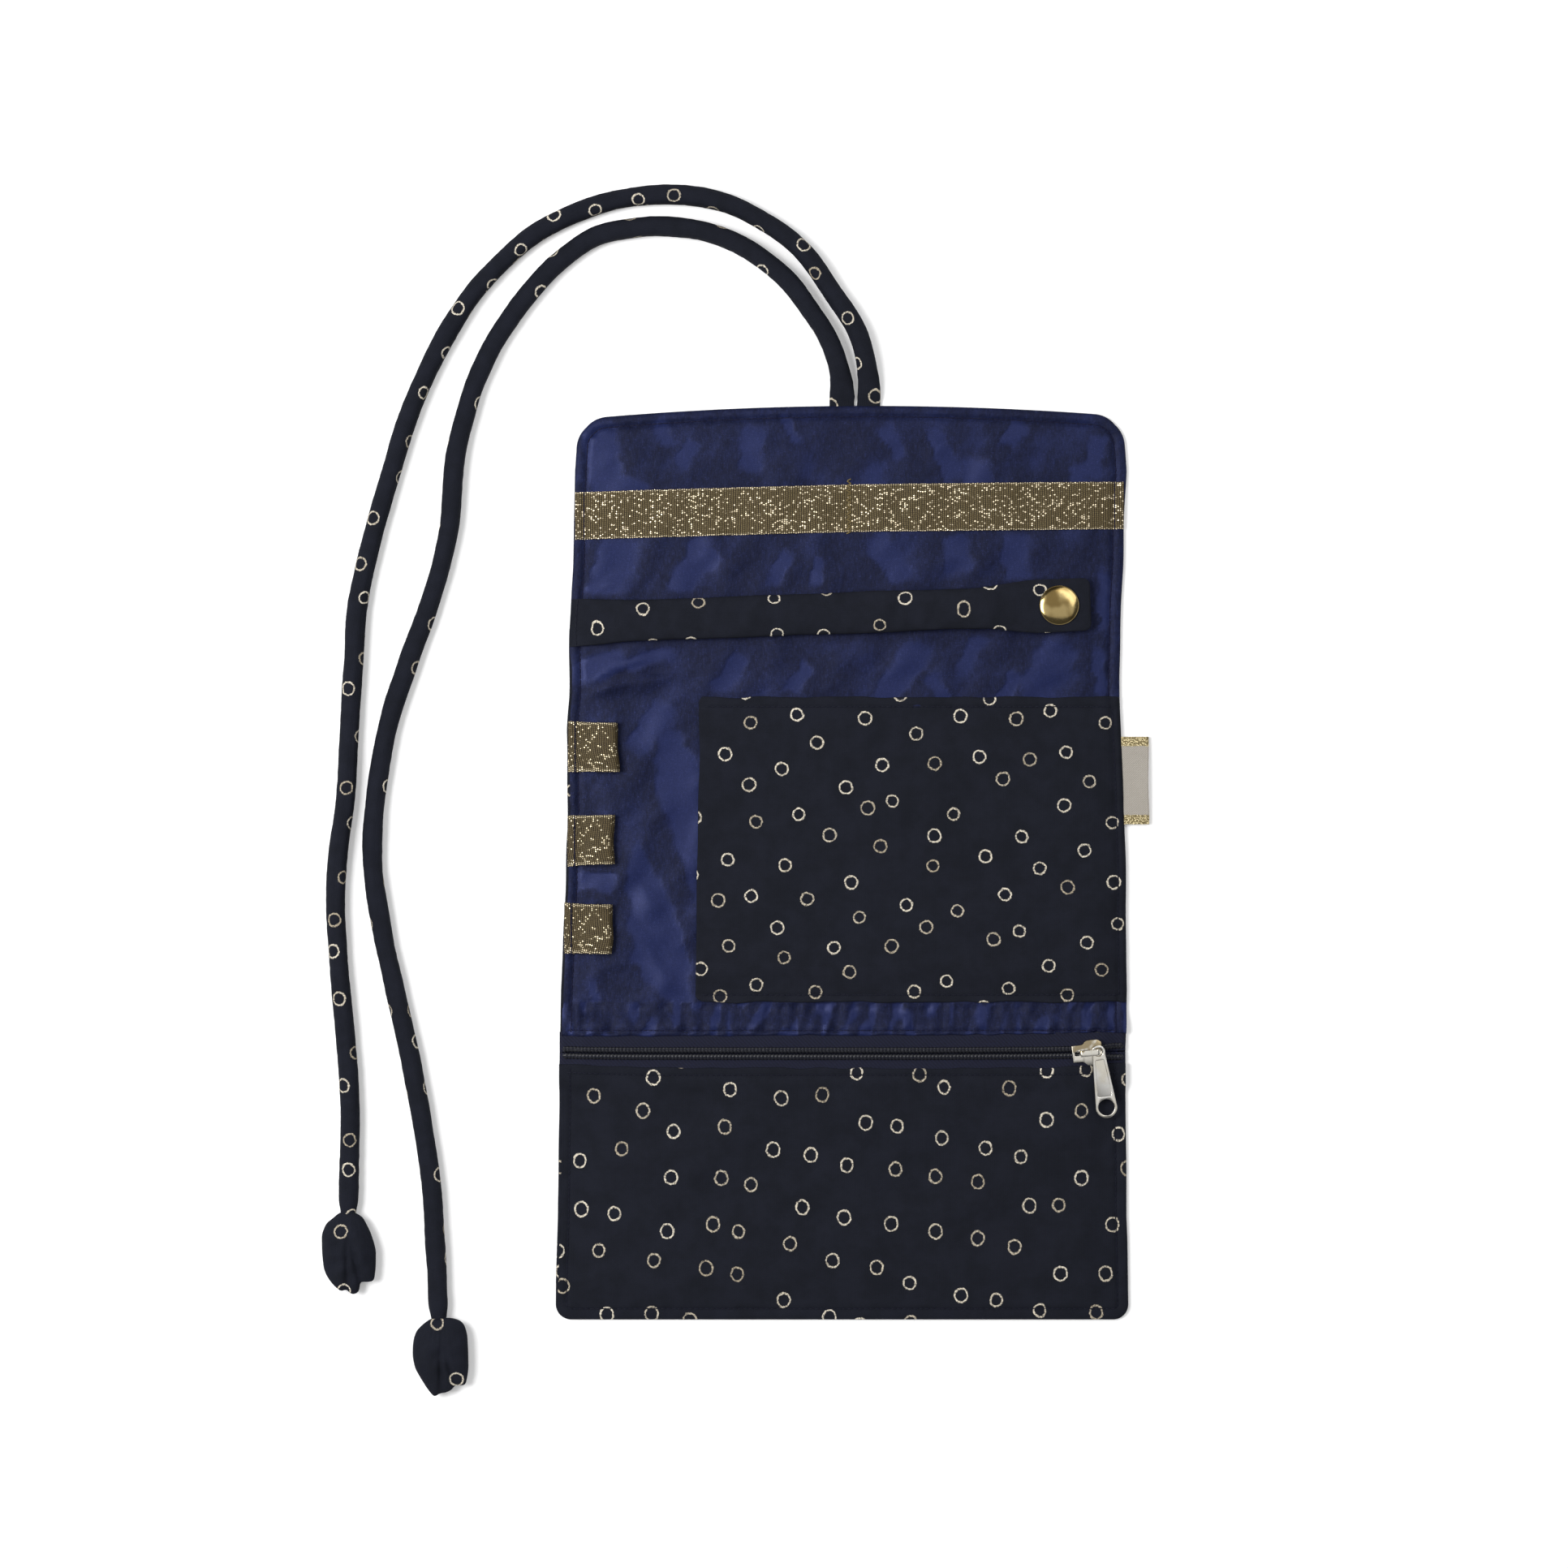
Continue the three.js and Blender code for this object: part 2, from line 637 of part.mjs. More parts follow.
function sliderBody() {
  const channel = zipSlit / 2 + coilWidth + sliderPlay;
  const flangeZ = tapeTopZ + sliderPlay;
  const wideEnd = sliderLength + 1;
  const flanges = raised(sliderOutline(0), flangeZ, upperPlateZ)
    .subtract(raised(sliderOutline(sliderWall), flangeZ - 1, upperPlateZ + 1))
    .subtract(box([-1, wideEnd], [-channel, channel], [flangeZ - 1, upperPlateZ + 1]))
    .subtract(box([sliderLength - sliderWall, wideEnd], [-sliderWidth, sliderWidth], [0, upperPlateZ]));
  const postEnd = sliderLength - sliderWall;
  const half = postWidth / 2;
  const post = box([postEnd - postLength, postEnd], [-half, half], [lowerPlateZ, sliderTopZ]);
  return raised(sliderOutline(0), lowerPlateZ, lowerPlateZ + sliderPlate)
    .add(raised(sliderOutline(0), upperPlateZ, sliderTopZ))
    .add(flanges)
    .add(post);
}

function sliderBridge() {
  const end = bridgeFromNeck + bridgeLength;
  const arch = new THREE.Shape();
  arch.moveTo(bridgeFromNeck, sliderTopZ);
  arch.lineTo(bridgeFromNeck + bridgeLeg, sliderTopZ);
  arch.lineTo(bridgeFromNeck + bridgeLeg, bridgeUnderZ);
  arch.lineTo(end - bridgeLeg, bridgeUnderZ);
  arch.lineTo(end - bridgeLeg, sliderTopZ);
  arch.lineTo(end, sliderTopZ);
  arch.lineTo(end, bridgeTopZ - bridgeBar);
  arch.quadraticCurveTo(end, bridgeTopZ, end - bridgeLeg, bridgeTopZ);
  arch.lineTo(bridgeFromNeck + bridgeLeg, bridgeTopZ);
  arch.quadraticCurveTo(bridgeFromNeck, bridgeTopZ, bridgeFromNeck, bridgeTopZ - bridgeBar);
  arch.closePath();
  return runAlongY(arch, -bridgeWidth / 2, bridgeWidth / 2, 5);
}

// The pull hangs toward -Y from the round eye at its origin
function zipPull() {
  const endRadius = pullEndWidth / 2;
  const endY = -(pullLength - pullEyeRadius - endRadius);
  const outline = new THREE.Shape();
  outline.absarc(0, endY, endRadius, Math.PI * 1.03, Math.PI * 1.97, false);
  outline.absarc(0, 0, pullEyeRadius, -0.35, Math.PI + 0.35, false);
  outline.closePath();
  const eye = new THREE.Path();
  eye.absarc(0, 0, pullEyeBore / 2, 0, 2 * Math.PI, true);
  const hole = new THREE.Path();
  hole.absarc(0, endY, pullHole / 2, 0, 2 * Math.PI, true);
  outline.holes.push(eye, hole);
  const plate = raised(outline, 0, pullThickness, 20);
  const panelTop = -pullEyeRadius - pullEyeWall;
  const panelLow = endY + endRadius + pullEyeWall / 2;
  const panelHalf = pullEyeRadius - pullEyeWall;
  const panelFloor = pullThickness - pullPanelDepth;
  const recess = box([-panelHalf, panelHalf], [panelLow, panelTop], [panelFloor, pullThickness + 1]);
  return plate.subtract(recess);
}

function slider() {
  const group = new THREE.Group();
  group.add(named('slider_body', sliderBody(), materials.nickel));
  group.add(named('slider_bridge', sliderBridge(), materials.nickel));
  const pull = named('zip_pull', zipPull(), materials.nickel);
  pull.position.set(bridgeFromNeck + bridgeLength - bridgeLeg / 2, 0, pullZ);
  pull.rotation.set(pullSlope * degree, 0, pullTurn * degree, 'ZYX');
  group.add(pull);
  group.position.set(halfWidth(zipY) - sliderFromEdge - sliderLength, zipY, 0);
  return group;
}

// Ties: points of each centre line, from the top seam to the bud

const tieRoutes = {
  tie_outer: [
    [8, 141.9], [8, 149.2], [4.8, 164.2], [-3.6, 177.6], [-10.6, 187.8], [-20.1, 196.6], [-35.8, 205.1],
    [-51.2, 208.2], [-66.7, 207.6], [-82.1, 203.6], [-97.6, 195.9], [-112.5, 182.7], [-123.9, 167.3],
    [-132.1, 151.8], [-137.8, 138.4], [-143.2, 120.9], [-149.1, 100.3], [-153.7, 79.7], [-155.3, 59.1],
    [-156.6, 38.5], [-157.8, 16.6], [-160.4, -2.7], [-160.9, -18.1], [-159.7, -38.7], [-157.6, -60.6],
    [-156.3, -82.5], [-156.6, -100.5], [-156.9, -114.7],
  ],
  tie_inner: [
    [-0.5, 141.9], [-0.5, 149.2], [-3.8, 160.6], [-9.8, 170.8], [-16.8, 180.2], [-25.9, 188.2],
    [-37.1, 194.4], [-51.2, 197.9], [-65.4, 197.9], [-79.6, 194.6], [-92.4, 185], [-103.3, 172.4],
    [-113, 157], [-119, 141.5], [-122.8, 126.1], [-125.4, 100.3], [-130.8, 79.7], [-138.3, 59.1],
    [-144.7, 38.5], [-148.3, 16.6], [-149.3, -2.7], [-146.5, -23.3], [-142.1, -43.9], [-137.5, -64.5],
    [-133.6, -85.1], [-130.6, -105.7], [-129.3, -126.3], [-128.2, -147.7],
  ],
};

function tieTube(name, route) {
  const radius = tieDiameter / 2;
  const points = route.map(([x, y]) => new THREE.Vector3(x, y, radius));
  const path = new THREE.CatmullRomCurve3(points, false, 'centripetal');
  const section = new THREE.Shape();
  for (let i = 0; i < tieSides; i += 1) {
    const angle = (i + 0.5) * 2 * Math.PI / tieSides;
    const point = [radius * Math.cos(angle), radius * Math.sin(angle)];
    if (i === 0) section.moveTo(...point);
    else section.lineTo(...point);
  }
  section.closePath();
  const run = { steps: tieSteps, extrudePath: path, bevelEnabled: false };
  const geometry = new THREE.ExtrudeGeometry(section, run);
  return { mesh: named(name, toSolid(geometry), materials.print), path };
}

// A gathered bud along -Y: narrow neck, square shoulders, and a mouth notched into petals
function budSolid() {
  const neck = tieDiameter / budWidth;
  const swell = [[0, neck], [0.04, 0.6], [0.12, 0.86], [0.28, 1], [0.55, 1], [0.8, 0.86], [1, 0.62]];
  const count = 16;
  const rings = swell.map(([along, size]) => Array.from({ length: count }, (_, i) => {
    const angle = i * 2 * Math.PI / count;
    const fullness = (size - neck) / (1 - neck);
    const height = tieDiameter + (budHeight - tieDiameter) * fullness;
    return new THREE.Vector3(
      budWidth / 2 * size * Math.cos(angle),
      -budLength * along,
      budHeight / 2 + height / 2 * Math.min(1, size * 1.25) * Math.sin(angle),
    );
  }));
  const mouthDepth = budMouthDepth / budLength;
  const mouth = loft([1 - mouthDepth, 1.05].map((along, step) => Array.from({ length: count }, (_, i) => {
    const angle = i * 2 * Math.PI / count;
    const size = step === 0 ? 0.2 : 0.42;
    return new THREE.Vector3(
      budWidth / 2 * size * Math.cos(angle),
      -budLength * along,
      budHeight / 2 + budHeight / 2 * size * Math.sin(angle),
    );
  })));
  let bud = loft(rings).subtract(mouth);
  for (const [side, depth] of [[-0.32, 0.6], [0.24, 1]]) {
    const notch = new THREE.Shape();
    const x = budWidth * side;
    notch.moveTo(x - budPetalDepth / 3, -budLength - 1);
    notch.lineTo(x + budPetalDepth / 3, -budLength - 1);
    notch.lineTo(x, -budLength + budPetalDepth * depth);
    notch.closePath();
    bud = bud.subtract(raised(notch, -1, budHeight + 1));
  }
  return bud;
}

function ties() {
  const group = new THREE.Group();
  for (const [name, route] of Object.entries(tieRoutes)) {
    const { mesh, path } = tieTube(name, route);
    const end = path.getPoint(1);
    const heading = path.getTangent(1);
    const bud = named(`${name}_bud`, budSolid(), materials.print);
    bud.position.set(end.x + heading.x * tieExitGap, end.y + heading.y * tieExitGap, 0);
    bud.rotation.z = Math.atan2(heading.y, heading.x) + Math.PI / 2 + budTilt * degree;
    group.add(mesh, bud);
  }
  return group;
}

const pouch = new THREE.Group();
pouch.add(flap(), ringStrap());
pouch.add(panel('spine_upper', middleTopY, flapBottomY));
pouch.add(middle());
pouch.add(panel('spine_lower', zipTopY, middleBottomY));
pouch.add(zipPanel(), slider(), ties());

export default pouch;
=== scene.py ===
"""The looks of a folding jewelry pouch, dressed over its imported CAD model.

The pouch lies open, with its ties laid out beside it. Shapes are worked out in millimetres and made in
metres. X runs across the pouch, Y from the zip pocket up to the flap, and Z up.
"""

import logging
import math
from collections.abc import Callable, Sequence
from dataclasses import dataclass
from enum import Enum
from typing import NamedTuple

import bmesh
import bpy
import numpy as np
from mathutils import Matrix, Vector


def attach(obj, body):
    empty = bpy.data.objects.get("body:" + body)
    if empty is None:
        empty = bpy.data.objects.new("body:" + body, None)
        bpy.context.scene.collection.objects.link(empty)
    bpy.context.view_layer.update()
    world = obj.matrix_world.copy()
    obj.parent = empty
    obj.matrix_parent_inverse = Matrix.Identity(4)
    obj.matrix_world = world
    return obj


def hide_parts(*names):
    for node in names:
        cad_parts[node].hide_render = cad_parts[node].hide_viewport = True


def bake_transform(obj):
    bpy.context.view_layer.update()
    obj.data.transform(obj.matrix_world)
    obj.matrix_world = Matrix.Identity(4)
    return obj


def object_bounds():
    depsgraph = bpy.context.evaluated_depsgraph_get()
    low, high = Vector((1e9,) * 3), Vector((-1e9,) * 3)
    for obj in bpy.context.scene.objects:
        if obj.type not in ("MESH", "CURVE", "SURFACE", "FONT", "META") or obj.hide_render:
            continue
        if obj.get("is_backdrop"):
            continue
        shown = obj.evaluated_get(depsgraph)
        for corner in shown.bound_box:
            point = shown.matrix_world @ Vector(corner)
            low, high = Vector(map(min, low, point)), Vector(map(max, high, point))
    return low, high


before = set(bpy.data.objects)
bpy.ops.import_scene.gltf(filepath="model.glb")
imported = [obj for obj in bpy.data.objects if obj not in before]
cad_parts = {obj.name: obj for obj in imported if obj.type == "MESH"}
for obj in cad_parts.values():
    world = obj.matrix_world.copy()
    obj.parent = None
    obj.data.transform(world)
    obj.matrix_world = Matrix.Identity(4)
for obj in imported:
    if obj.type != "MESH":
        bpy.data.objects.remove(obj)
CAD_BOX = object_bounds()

MM = 0.001
log = logging.getLogger("pouch")


class Slot(Enum):
    """The material slots."""

    PRINT = "print_cotton"
    LINING = "taffeta_lining"
    WADDING = "wadding"
    RIBBON = "lurex_ribbon"
    TAPE = "zip_tape"
    COIL = "zip_coil"
    NICKEL = "nickel"
    SNAP = "snap_metal"
    LABEL = "woven_label"


# Shader building blocks


def linear(digits: str) -> tuple[float, ...]:
    """Turns an sRGB hex colour to linear red, green, blue and alpha."""
    parts = [int(digits[i : i + 2], 16) / 255 for i in (0, 2, 4)]
    return (*(c / 12.92 if c <= 0.04045 else ((c + 0.055) / 1.055) ** 2.4 for c in parts), 1.0)


class Signal:
    """A shader node's output that sums can be written with."""

    def __init__(self, socket: bpy.types.NodeSocket) -> None:
        """Keeps the output's socket."""
        self.socket = socket

    @property
    def tree(self) -> bpy.types.NodeTree:
        """The node tree that it is in."""
        return self.socket.id_data

    def maths(self, operation: str, *values: object) -> "Signal":
        """The result of a Math node that takes this signal first."""
        return signal(self.tree, "Math", 0, dict(enumerate((self, *values))), operation=operation)

    def __add__(self, other: object) -> "Signal":
        """The sum."""
        return self.maths("ADD", other)

    def __sub__(self, other: object) -> "Signal":
        """The difference."""
        return self.maths("SUBTRACT", other)

    def __rsub__(self, other: float) -> "Signal":
        """A number less this signal."""
        return self * -1.0 + other

    def __mul__(self, other: object) -> "Signal":
        """The product."""
        return self.maths("MULTIPLY", other)

    def ramp(self, low: float, high: float, to_low: float = 0, to_high: float = 1) -> "Signal":
        """This signal eased from the range low to high into to_low to to_high, and clamped."""
        inputs = {0: self, 1: low, 2: high, 3: to_low, 4: to_high}
        return signal(self.tree, "MapRange", 0, inputs, interpolation_type="SMOOTHSTEP")

    def mix(self, first: object, second: object) -> "Signal":
        """The colour this signal's share of the way between two, each a signal or hex digits."""
        first, second = (linear(c) if isinstance(c, str) else c for c in (first, second))
        return signal(self.tree, "Mix", 2, {0: self, 6: first, 7: second}, data_type="RGBA")


def node(tree: bpy.types.NodeTree, kind: str, inputs: dict | None = None, **settings) -> bpy.types.Node:
    """Adds a shader node with its settings and links.

    Args:
        tree: the node tree.
        kind: the node's type, without the words ShaderNode.
        inputs: by socket name or number, the signal to link or the value to set.
        settings: the node's own properties.

    Returns:
        The new node.
    """
    made = tree.nodes.new(f"ShaderNode{kind}")
    for key, value in settings.items():
        setattr(made, key, value)
    for key, value in (inputs or {}).items():
        if isinstance(value, Signal):
            tree.links.new(value.socket, made.inputs[key])
        else:
            made.inputs[key].default_value = value
    return made


def signal(
    tree: bpy.types.NodeTree, kind: str, output: object, inputs: dict | None = None, **settings
) -> Signal:
    """Adds a shader node, as node does, and returns the output of that name or number."""
    return Signal(node(tree, kind, inputs, **settings).outputs[output])


def split(vector: Signal) -> list[Signal]:
    """The three parts of a vector."""
    return [Signal(socket) for socket in node(vector.tree, "SeparateXYZ", {0: vector}).outputs]


def millimetres(
    tree: bpy.types.NodeTree, by_uv: bool = True, move: Sequence[float] = (0, 0), turn: float = 0,
    tall: float = 1,
) -> Signal:
    """Pattern coordinates in millimetres.

    Args:
        tree: the node tree.
        by_uv: read the piece's own UV map, which is in metres along the cloth, and not its place.
        move: shifts the pattern, in millimetres.
        turn: turns the pattern, in degrees.
        tall: how much taller than wide the pattern is.

    Returns:
        The coordinates.
    """
    inputs = {
        "Vector": signal(tree, "TexCoord", "UV" if by_uv else "Object"),
        "Location": (*move, 0),
        "Rotation": (0, 0, math.radians(turn)),
        "Scale": (1 / MM, 1 / MM / tall, 1 / MM),
    }
    return signal(tree, "Mapping", 0, inputs)


def threads(where: Signal, pitch: float, direction: str = "X", wobble: float = 0) -> Signal:
    """Parallel threads, 0 between them and 1 at their crowns.

    Args:
        where: coordinates in millimetres.
        pitch: spacing in millimetres.
        direction: the axis that the threads follow one another along, or DIAGONAL.
        wobble: unevenness.

    Returns:
        The threads' height.
    """
    inputs = {"Vector": where, "Scale": math.pi / 10 / pitch, "Distortion": wobble, "Detail Scale": 0.3}
    return signal(where.tree, "TexWave", "Fac", inputs, bands_direction=direction, wave_profile="SIN")


def mottle(where: Signal, size: float, detail: float = 2, rough: float = 0.5) -> Signal:
    """Soft noise about 0.5.

    Args:
        where: coordinates in millimetres.
        size: its grain in millimetres.
        detail: octaves.
        rough: how strong the finer octaves are.

    Returns:
        The noise.
    """
    inputs = {"Vector": where, "Scale": 1 / size, "Detail": detail, "Roughness": rough}
    return signal(where.tree, "TexNoise", "Fac", inputs)


def bumped(height: Signal, depth: float, strength: float = 0.7) -> Signal:
    """A bump normal of a height from 0 to 1, where 1 is depth millimetres."""
    inputs = {"Strength": strength, "Distance": depth * MM, "Height": height}
    return signal(height.tree, "Bump", 0, inputs)


def new_material(name: str, slot: Slot) -> tuple[bpy.types.Material, bpy.types.NodeTree]:
    """An empty node material that remembers its slot, and its tree.

    Args:
        name: its name.
        slot: its slot in the record.

    Returns:
        slot: its material slot.
    """
    material = bpy.data.materials.new(name)
    material["slot"] = slot.value
    return material, emptied(material)


def emptied(owner: bpy.types.Material | bpy.types.World) -> bpy.types.NodeTree:
    """The node tree of a material or world, without nodes.

    Args:
        owner: the material or world.

    Returns:
        Its emptied tree.
    """
    owner.use_nodes = True
    owner.node_tree.nodes.clear()
    return owner.node_tree


def shade(colour: Signal, rough: Signal, normal: Signal, gloss: float = 0.5, metal: object = 0.0) -> None:
    """Ends a tree in a Principled surface.

    Args:
        colour: its colour.
        rough: its roughness.
        normal: its bumped normal.
        gloss: its specular level.
        metal: how metallic it is, a number or a signal.
    """
    inputs = {"Base Color": colour, "Roughness": rough, "Normal": normal}
    inputs |= {"Specular IOR Level": gloss, "Metallic": metal}
    surface = signal(colour.tree, "BsdfPrincipled", 0, inputs)
    node(colour.tree, "OutputMaterial", {"Surface": surface})


# Finishes


@dataclass(frozen=True)
class PrintCotton:
    """Plain-woven black-blue cotton, screen-printed with small rings in a chalky gold ink."""

    ground: str = "16181f"
    ground_light: str = "1b1d26"
    between: str = "11131b"
    ink: str = "dbd2c0"
    ink_dark: str = "a39782"
    thread: float = 0.45
    cell: float = 13.9
    scatter: float = 0.5
    shake: float = 0.9
    ring: float = 1.93
    stroke: float = 0.5

    def material(
        self, name: str, move: tuple[float, float] = (0, 0), turn: float = 0, tall: float = 1,
        by_uv: bool = False,
    ) -> bpy.types.Material:
        """Makes the cloth for one cut piece.

        Args:
            name: the piece's name.
            move: where the print lies on this cut, in millimetres.
            turn: how the cut is turned, in degrees.
            tall: how much taller than wide the rings are.
            by_uv: follow the cloth and not its place.

        Returns:
            The material.
        """
        material, tree = new_material(f"{name}_print_cotton", Slot.PRINT)
        # The ink: one ring to a cell, shaken out of round, ragged at its edge and dry in places
        print_on = millimetres(tree, by_uv, move, turn, tall)
        inputs = {"Vector": print_on, "Scale": 0.55, "Detail": 3.0, "Roughness": 0.65}
        shaken = {0: signal(tree, "TexNoise", "Color", inputs), 1: (self.shake,) * 3, 2: print_on}
        shaken = signal(tree, "VectorMath", 0, shaken, operation="MULTIPLY_ADD")
        drawn = signal(tree, "VectorMath", 0, {0: shaken, 1: (self.shake / 2,) * 3}, operation="SUBTRACT")
        inputs = {"Vector": drawn, "Scale": 1 / self.cell, "Randomness": self.scatter}
        cells = node(tree, "TexVoronoi", inputs, voronoi_dimensions="2D")
        luck = node(tree, "SeparateColor", {0: Signal(cells.outputs["Color"])})
        radius = Signal(luck.outputs[0]).ramp(0, 1, self.ring * 0.94, self.ring * 1.06)
        from_line = (Signal(cells.outputs["Distance"]) * self.cell - radius).maths("ABSOLUTE")
        ragged = from_line + (mottle(print_on, 0.5) * 0.42 - 0.21)
        line = ragged.ramp(self.stroke / 2 - 0.09, self.stroke / 2 + 0.09, 1, 0)
        cover = line * mottle(print_on, 0.4, 3, 0.7).ramp(0.4, 0.52, 0.2, 1)
        tone = mottle(print_on, 0.9) * 0.5 + Signal(luck.outputs[1]) * 0.6
        ink = tone.ramp(0.25, 0.95).mix(self.ink, self.ink_dark)

        # The cloth: a plain weave, a little paler in wide soft patches
        cloth = millimetres(tree, by_uv)
        weave = threads(cloth, self.thread, "X", 0.25) * threads(cloth, self.thread, "Y", 0.25)
        ground = mottle(cloth, 7, 4, 0.6).ramp(0.3, 0.7).mix(self.ground, self.ground_light)
        ground = weave.ramp(0, 1, 0.3, 0).mix(ground, self.between)
        shade(cover.mix(ground, ink), cover.ramp(0, 1, 0.88, 0.55), bumped(cover * 0.8 + weave, 0.07), 0.1)
        return material


@dataclass(frozen=True)
class Taffeta:
    """Royal-blue polyester taffeta with a fine slanting grain.

    Where it is pulled taut it is smooth and glossy, with its colour painted paler as painted sheen; elsewhere
    it is crinkled and painted darker as painted shade, with painted highlights on its slubs.
    """

    # Tones of painted shade for loose cloth and painted sheen for taut cloth, a darker painted shade for
    # crinkles and the grain's gaps, and a painted highlight for slubs
    crinkled_shade: str = "151a34"
    smooth: str = "202850"
    crinkle_shade_and_grain: str = "0d1024"
    slub_highlight: str = "3a437a"
    grain: float = 0.36
    grain_turn: float = 38
    wobble: float = 2.5

    def material(self, name: str) -> bpy.types.Material:
        """Makes the lining cloth, which reads the mesh's taut attribute.

        Args:
            name: the piece's name.

        Returns:
            The material.
        """
        material, tree = new_material(f"{name}_taffeta", Slot.LINING)
        cloth = millimetres(tree)
        hatch = threads(millimetres(tree, turn=self.grain_turn), self.grain, "X", self.wobble)
        hatch *= threads(millimetres(tree, turn=-self.grain_turn), self.grain, "X", self.wobble)
        weave = hatch * 0.5 + mottle(cloth, 0.42, 2, 0.7) * 1.05
        taut = signal(tree, "Attribute", "Fac", attribute_name="taut", attribute_type="GEOMETRY")
        feather = mottle(cloth, 1.4, 4, 0.75) * 0.5 - 0.25
        taut = (taut + feather).ramp(0.05, 0.9)
        loose = 1.0 - taut
        crinkle = mottle(millimetres(tree, turn=-20, tall=2.2), 1.25, 4, 0.72)
        slubs = mottle(millimetres(tree, tall=0.2), 1.6, 3, 0.7)
        slubs += mottle(millimetres(tree, tall=6), 0.4, 3, 0.7)
        # Painted highlights: slubs in the weave are lit paler in places
        lit = slubs.ramp(0.98, 1.3, 0, 0.5) * weave.ramp(0.45, 0.95, 0.3, 1)
        # Painted sheen and shade: taut cloth gets the paler colour and loose cloth the darker one
        base = lit.mix(taut.mix(self.crinkled_shade, self.smooth), self.slub_highlight)
        # Painted shade darkens the crinkles of loose cloth, and the same dark colour fills the grain's gaps
        shaded = crinkle.ramp(0.38, 0.56, 0.6, 0) * (loose * 0.85 + 0.15)
        base = shaded.mix(base, self.crinkle_shade_and_grain)
        base = weave.ramp(0.4, 0.95, 0.42, 0).mix(base, self.crinkle_shade_and_grain)
        height = weave * 0.35 + (crinkle * 2.2 + slubs) * loose
        shade(base, taut.ramp(0, 1, 0.55, 0.42), bumped(height, 0.11), 0.12, 0.25)
        return material


@dataclass(frozen=True)
class GlitterRibbon:
    """Grosgrain ribbon of flat metal-coated yarn: dull gold ribs of small beads, some painted with glints."""

    base: str = "6d6043"
    shadow: str = "19130a"
    # A painted glint colour, for lucky beads and the selvedges
    painted_glint: str = "fbeac8"
    dull: str = "4b4029"
    rib: float = 0.72
    bead: float = 0.62
    half_wide: float = 7.5
    rare: float = 1.5

    def material(self, name: str) -> bpy.types.Material:
        """Makes the ribbon's finish, whose ribs cross its length.

        Args:
            name: the piece's name.

        Returns:
            The material.
        """
        material, tree = new_material(f"{name}_glitter", Slot.RIBBON)
        cloth = millimetres(tree)
        x, y, _ = split(cloth)
        # Each bead is a cell of a brick pattern, rounded both ways
        along = (mottle(cloth, 6) * 0.5 + x).maths("DIVIDE", self.rib)
        column = along.maths("FLOOR")
        brick = signal(tree, "TexWhiteNoise", "Value", {"W": column}, noise_dimensions="1D")
        across = y.maths("DIVIDE", self.bead) + brick
        crown = (along.maths("FRACT") * math.pi).maths("SINE")
        length = (across.maths("FRACT") * math.pi).maths("SINE")
        bead = crown * length.maths("POWER", 0.3)
        cell = signal(tree, "CombineXYZ", 0, {0: column, 1: across.maths("FLOOR")})
        luck = signal(tree, "TexWhiteNoise", "Value", {"Vector": cell}, noise_dimensions="2D")
        # Painted glints: beads are painted bright by luck, more often in drifting clusters, and all along the
        # selvedges
        cluster = mottle(millimetres(tree, turn=28, tall=0.45), 5, 4, 0.7)
        lucky = (cluster * 1.5 + luck).ramp(self.rare, self.rare + 0.2)
        rim = y.maths("ABSOLUTE").ramp(self.half_wide - 0.55, self.half_wide - 0.4, 0, 0.5)
        spark = mottle(cloth, 0.55, 2, 0.6) * 1.1 + (crown * length.maths("POWER", 0.9) - 0.55)
        painted_glint = lucky.maths("MAXIMUM", rim) * spark.ramp(0.35, 0.8)
        gold = luck.ramp(0, 1, 0, 0.6).mix(bead.ramp(0.25, 0.95).mix(self.shadow, self.base), self.dull)
        rough, metal = painted_glint.ramp(0, 1, 0.6, 0.3), painted_glint.ramp(0, 1, 0.25, 0.5)
        shade(painted_glint.mix(gold, self.painted_glint), rough, bumped(bead, 0.14), 0.2, metal)
        return material


@dataclass(frozen=True)
class PlainCloth:
    """A plain dyed textile with only its own structure, such as zip tape, nylon, thread or batting."""

    low: str
    high: str
    pitch: float
    slot: Slot
    direction: str = "DIAGONAL"
    roughness: float = 0.8
    depth: float = 0.06
    gloss: float = 0.3

    def material(self, name: str) -> bpy.types.Material:
        """Makes the finish of the piece of that name.

        Args:
            name: the piece's name.

        Returns:
            The material.
        """
        material, tree = new_material(name, self.slot)
        cloth = millimetres(tree)
        fuzz = mottle(cloth, self.pitch * 1.5, 3, 0.7)
        tone = threads(cloth, self.pitch, self.direction, 0.6) * 0.4 + fuzz
        rough = fuzz.ramp(0.3, 0.7, self.roughness - 0.07, self.roughness + 0.05)
        shade(tone.ramp(0.3, 1.1).mix(self.low, self.high), rough, bumped(tone, self.depth, 0.8), self.gloss)
        return material


@dataclass(frozen=True)
class PlatedMetal:
    """Plated metal: smooth, with faint tumbling marks, a warmer bloom in places, and optionally painted shade
    toward one side.
    """

    colour: str
    bloom: str
    roughness: float
    slot: Slot
    patch: float = 6
    painted_shade_span: tuple[float, float] | None = None
    hammered: float = 0.004

    def material(self, name: str) -> bpy.types.Material:
        """Makes the plating of the piece of that name.

        Args:
            name: the piece's name.

        Returns:
            The material.
        """
        material, tree = new_material(name, self.slot)
        place = millimetres(tree, False)
        soft = mottle(place, self.patch, 1)
        marks = mottle(place, 0.5, 3, 0.6)
        # Painted shade: with a span given, the bloom colour grows toward higher Y across it
        bloom = soft + split(place)[1].ramp(*self.painted_shade_span, -0.15, 0.2) if self.painted_shade_span else soft
        rough = marks.ramp(0.3, 0.7, self.roughness - 0.02, self.roughness + 0.03)
        colour = bloom.ramp(0.42, 0.66, 0, 0.85).mix(self.colour, self.bloom)
        shade(colour, rough, bumped(marks * 0.05 + soft, self.hammered, 0.5), metal=1.0)
        return material


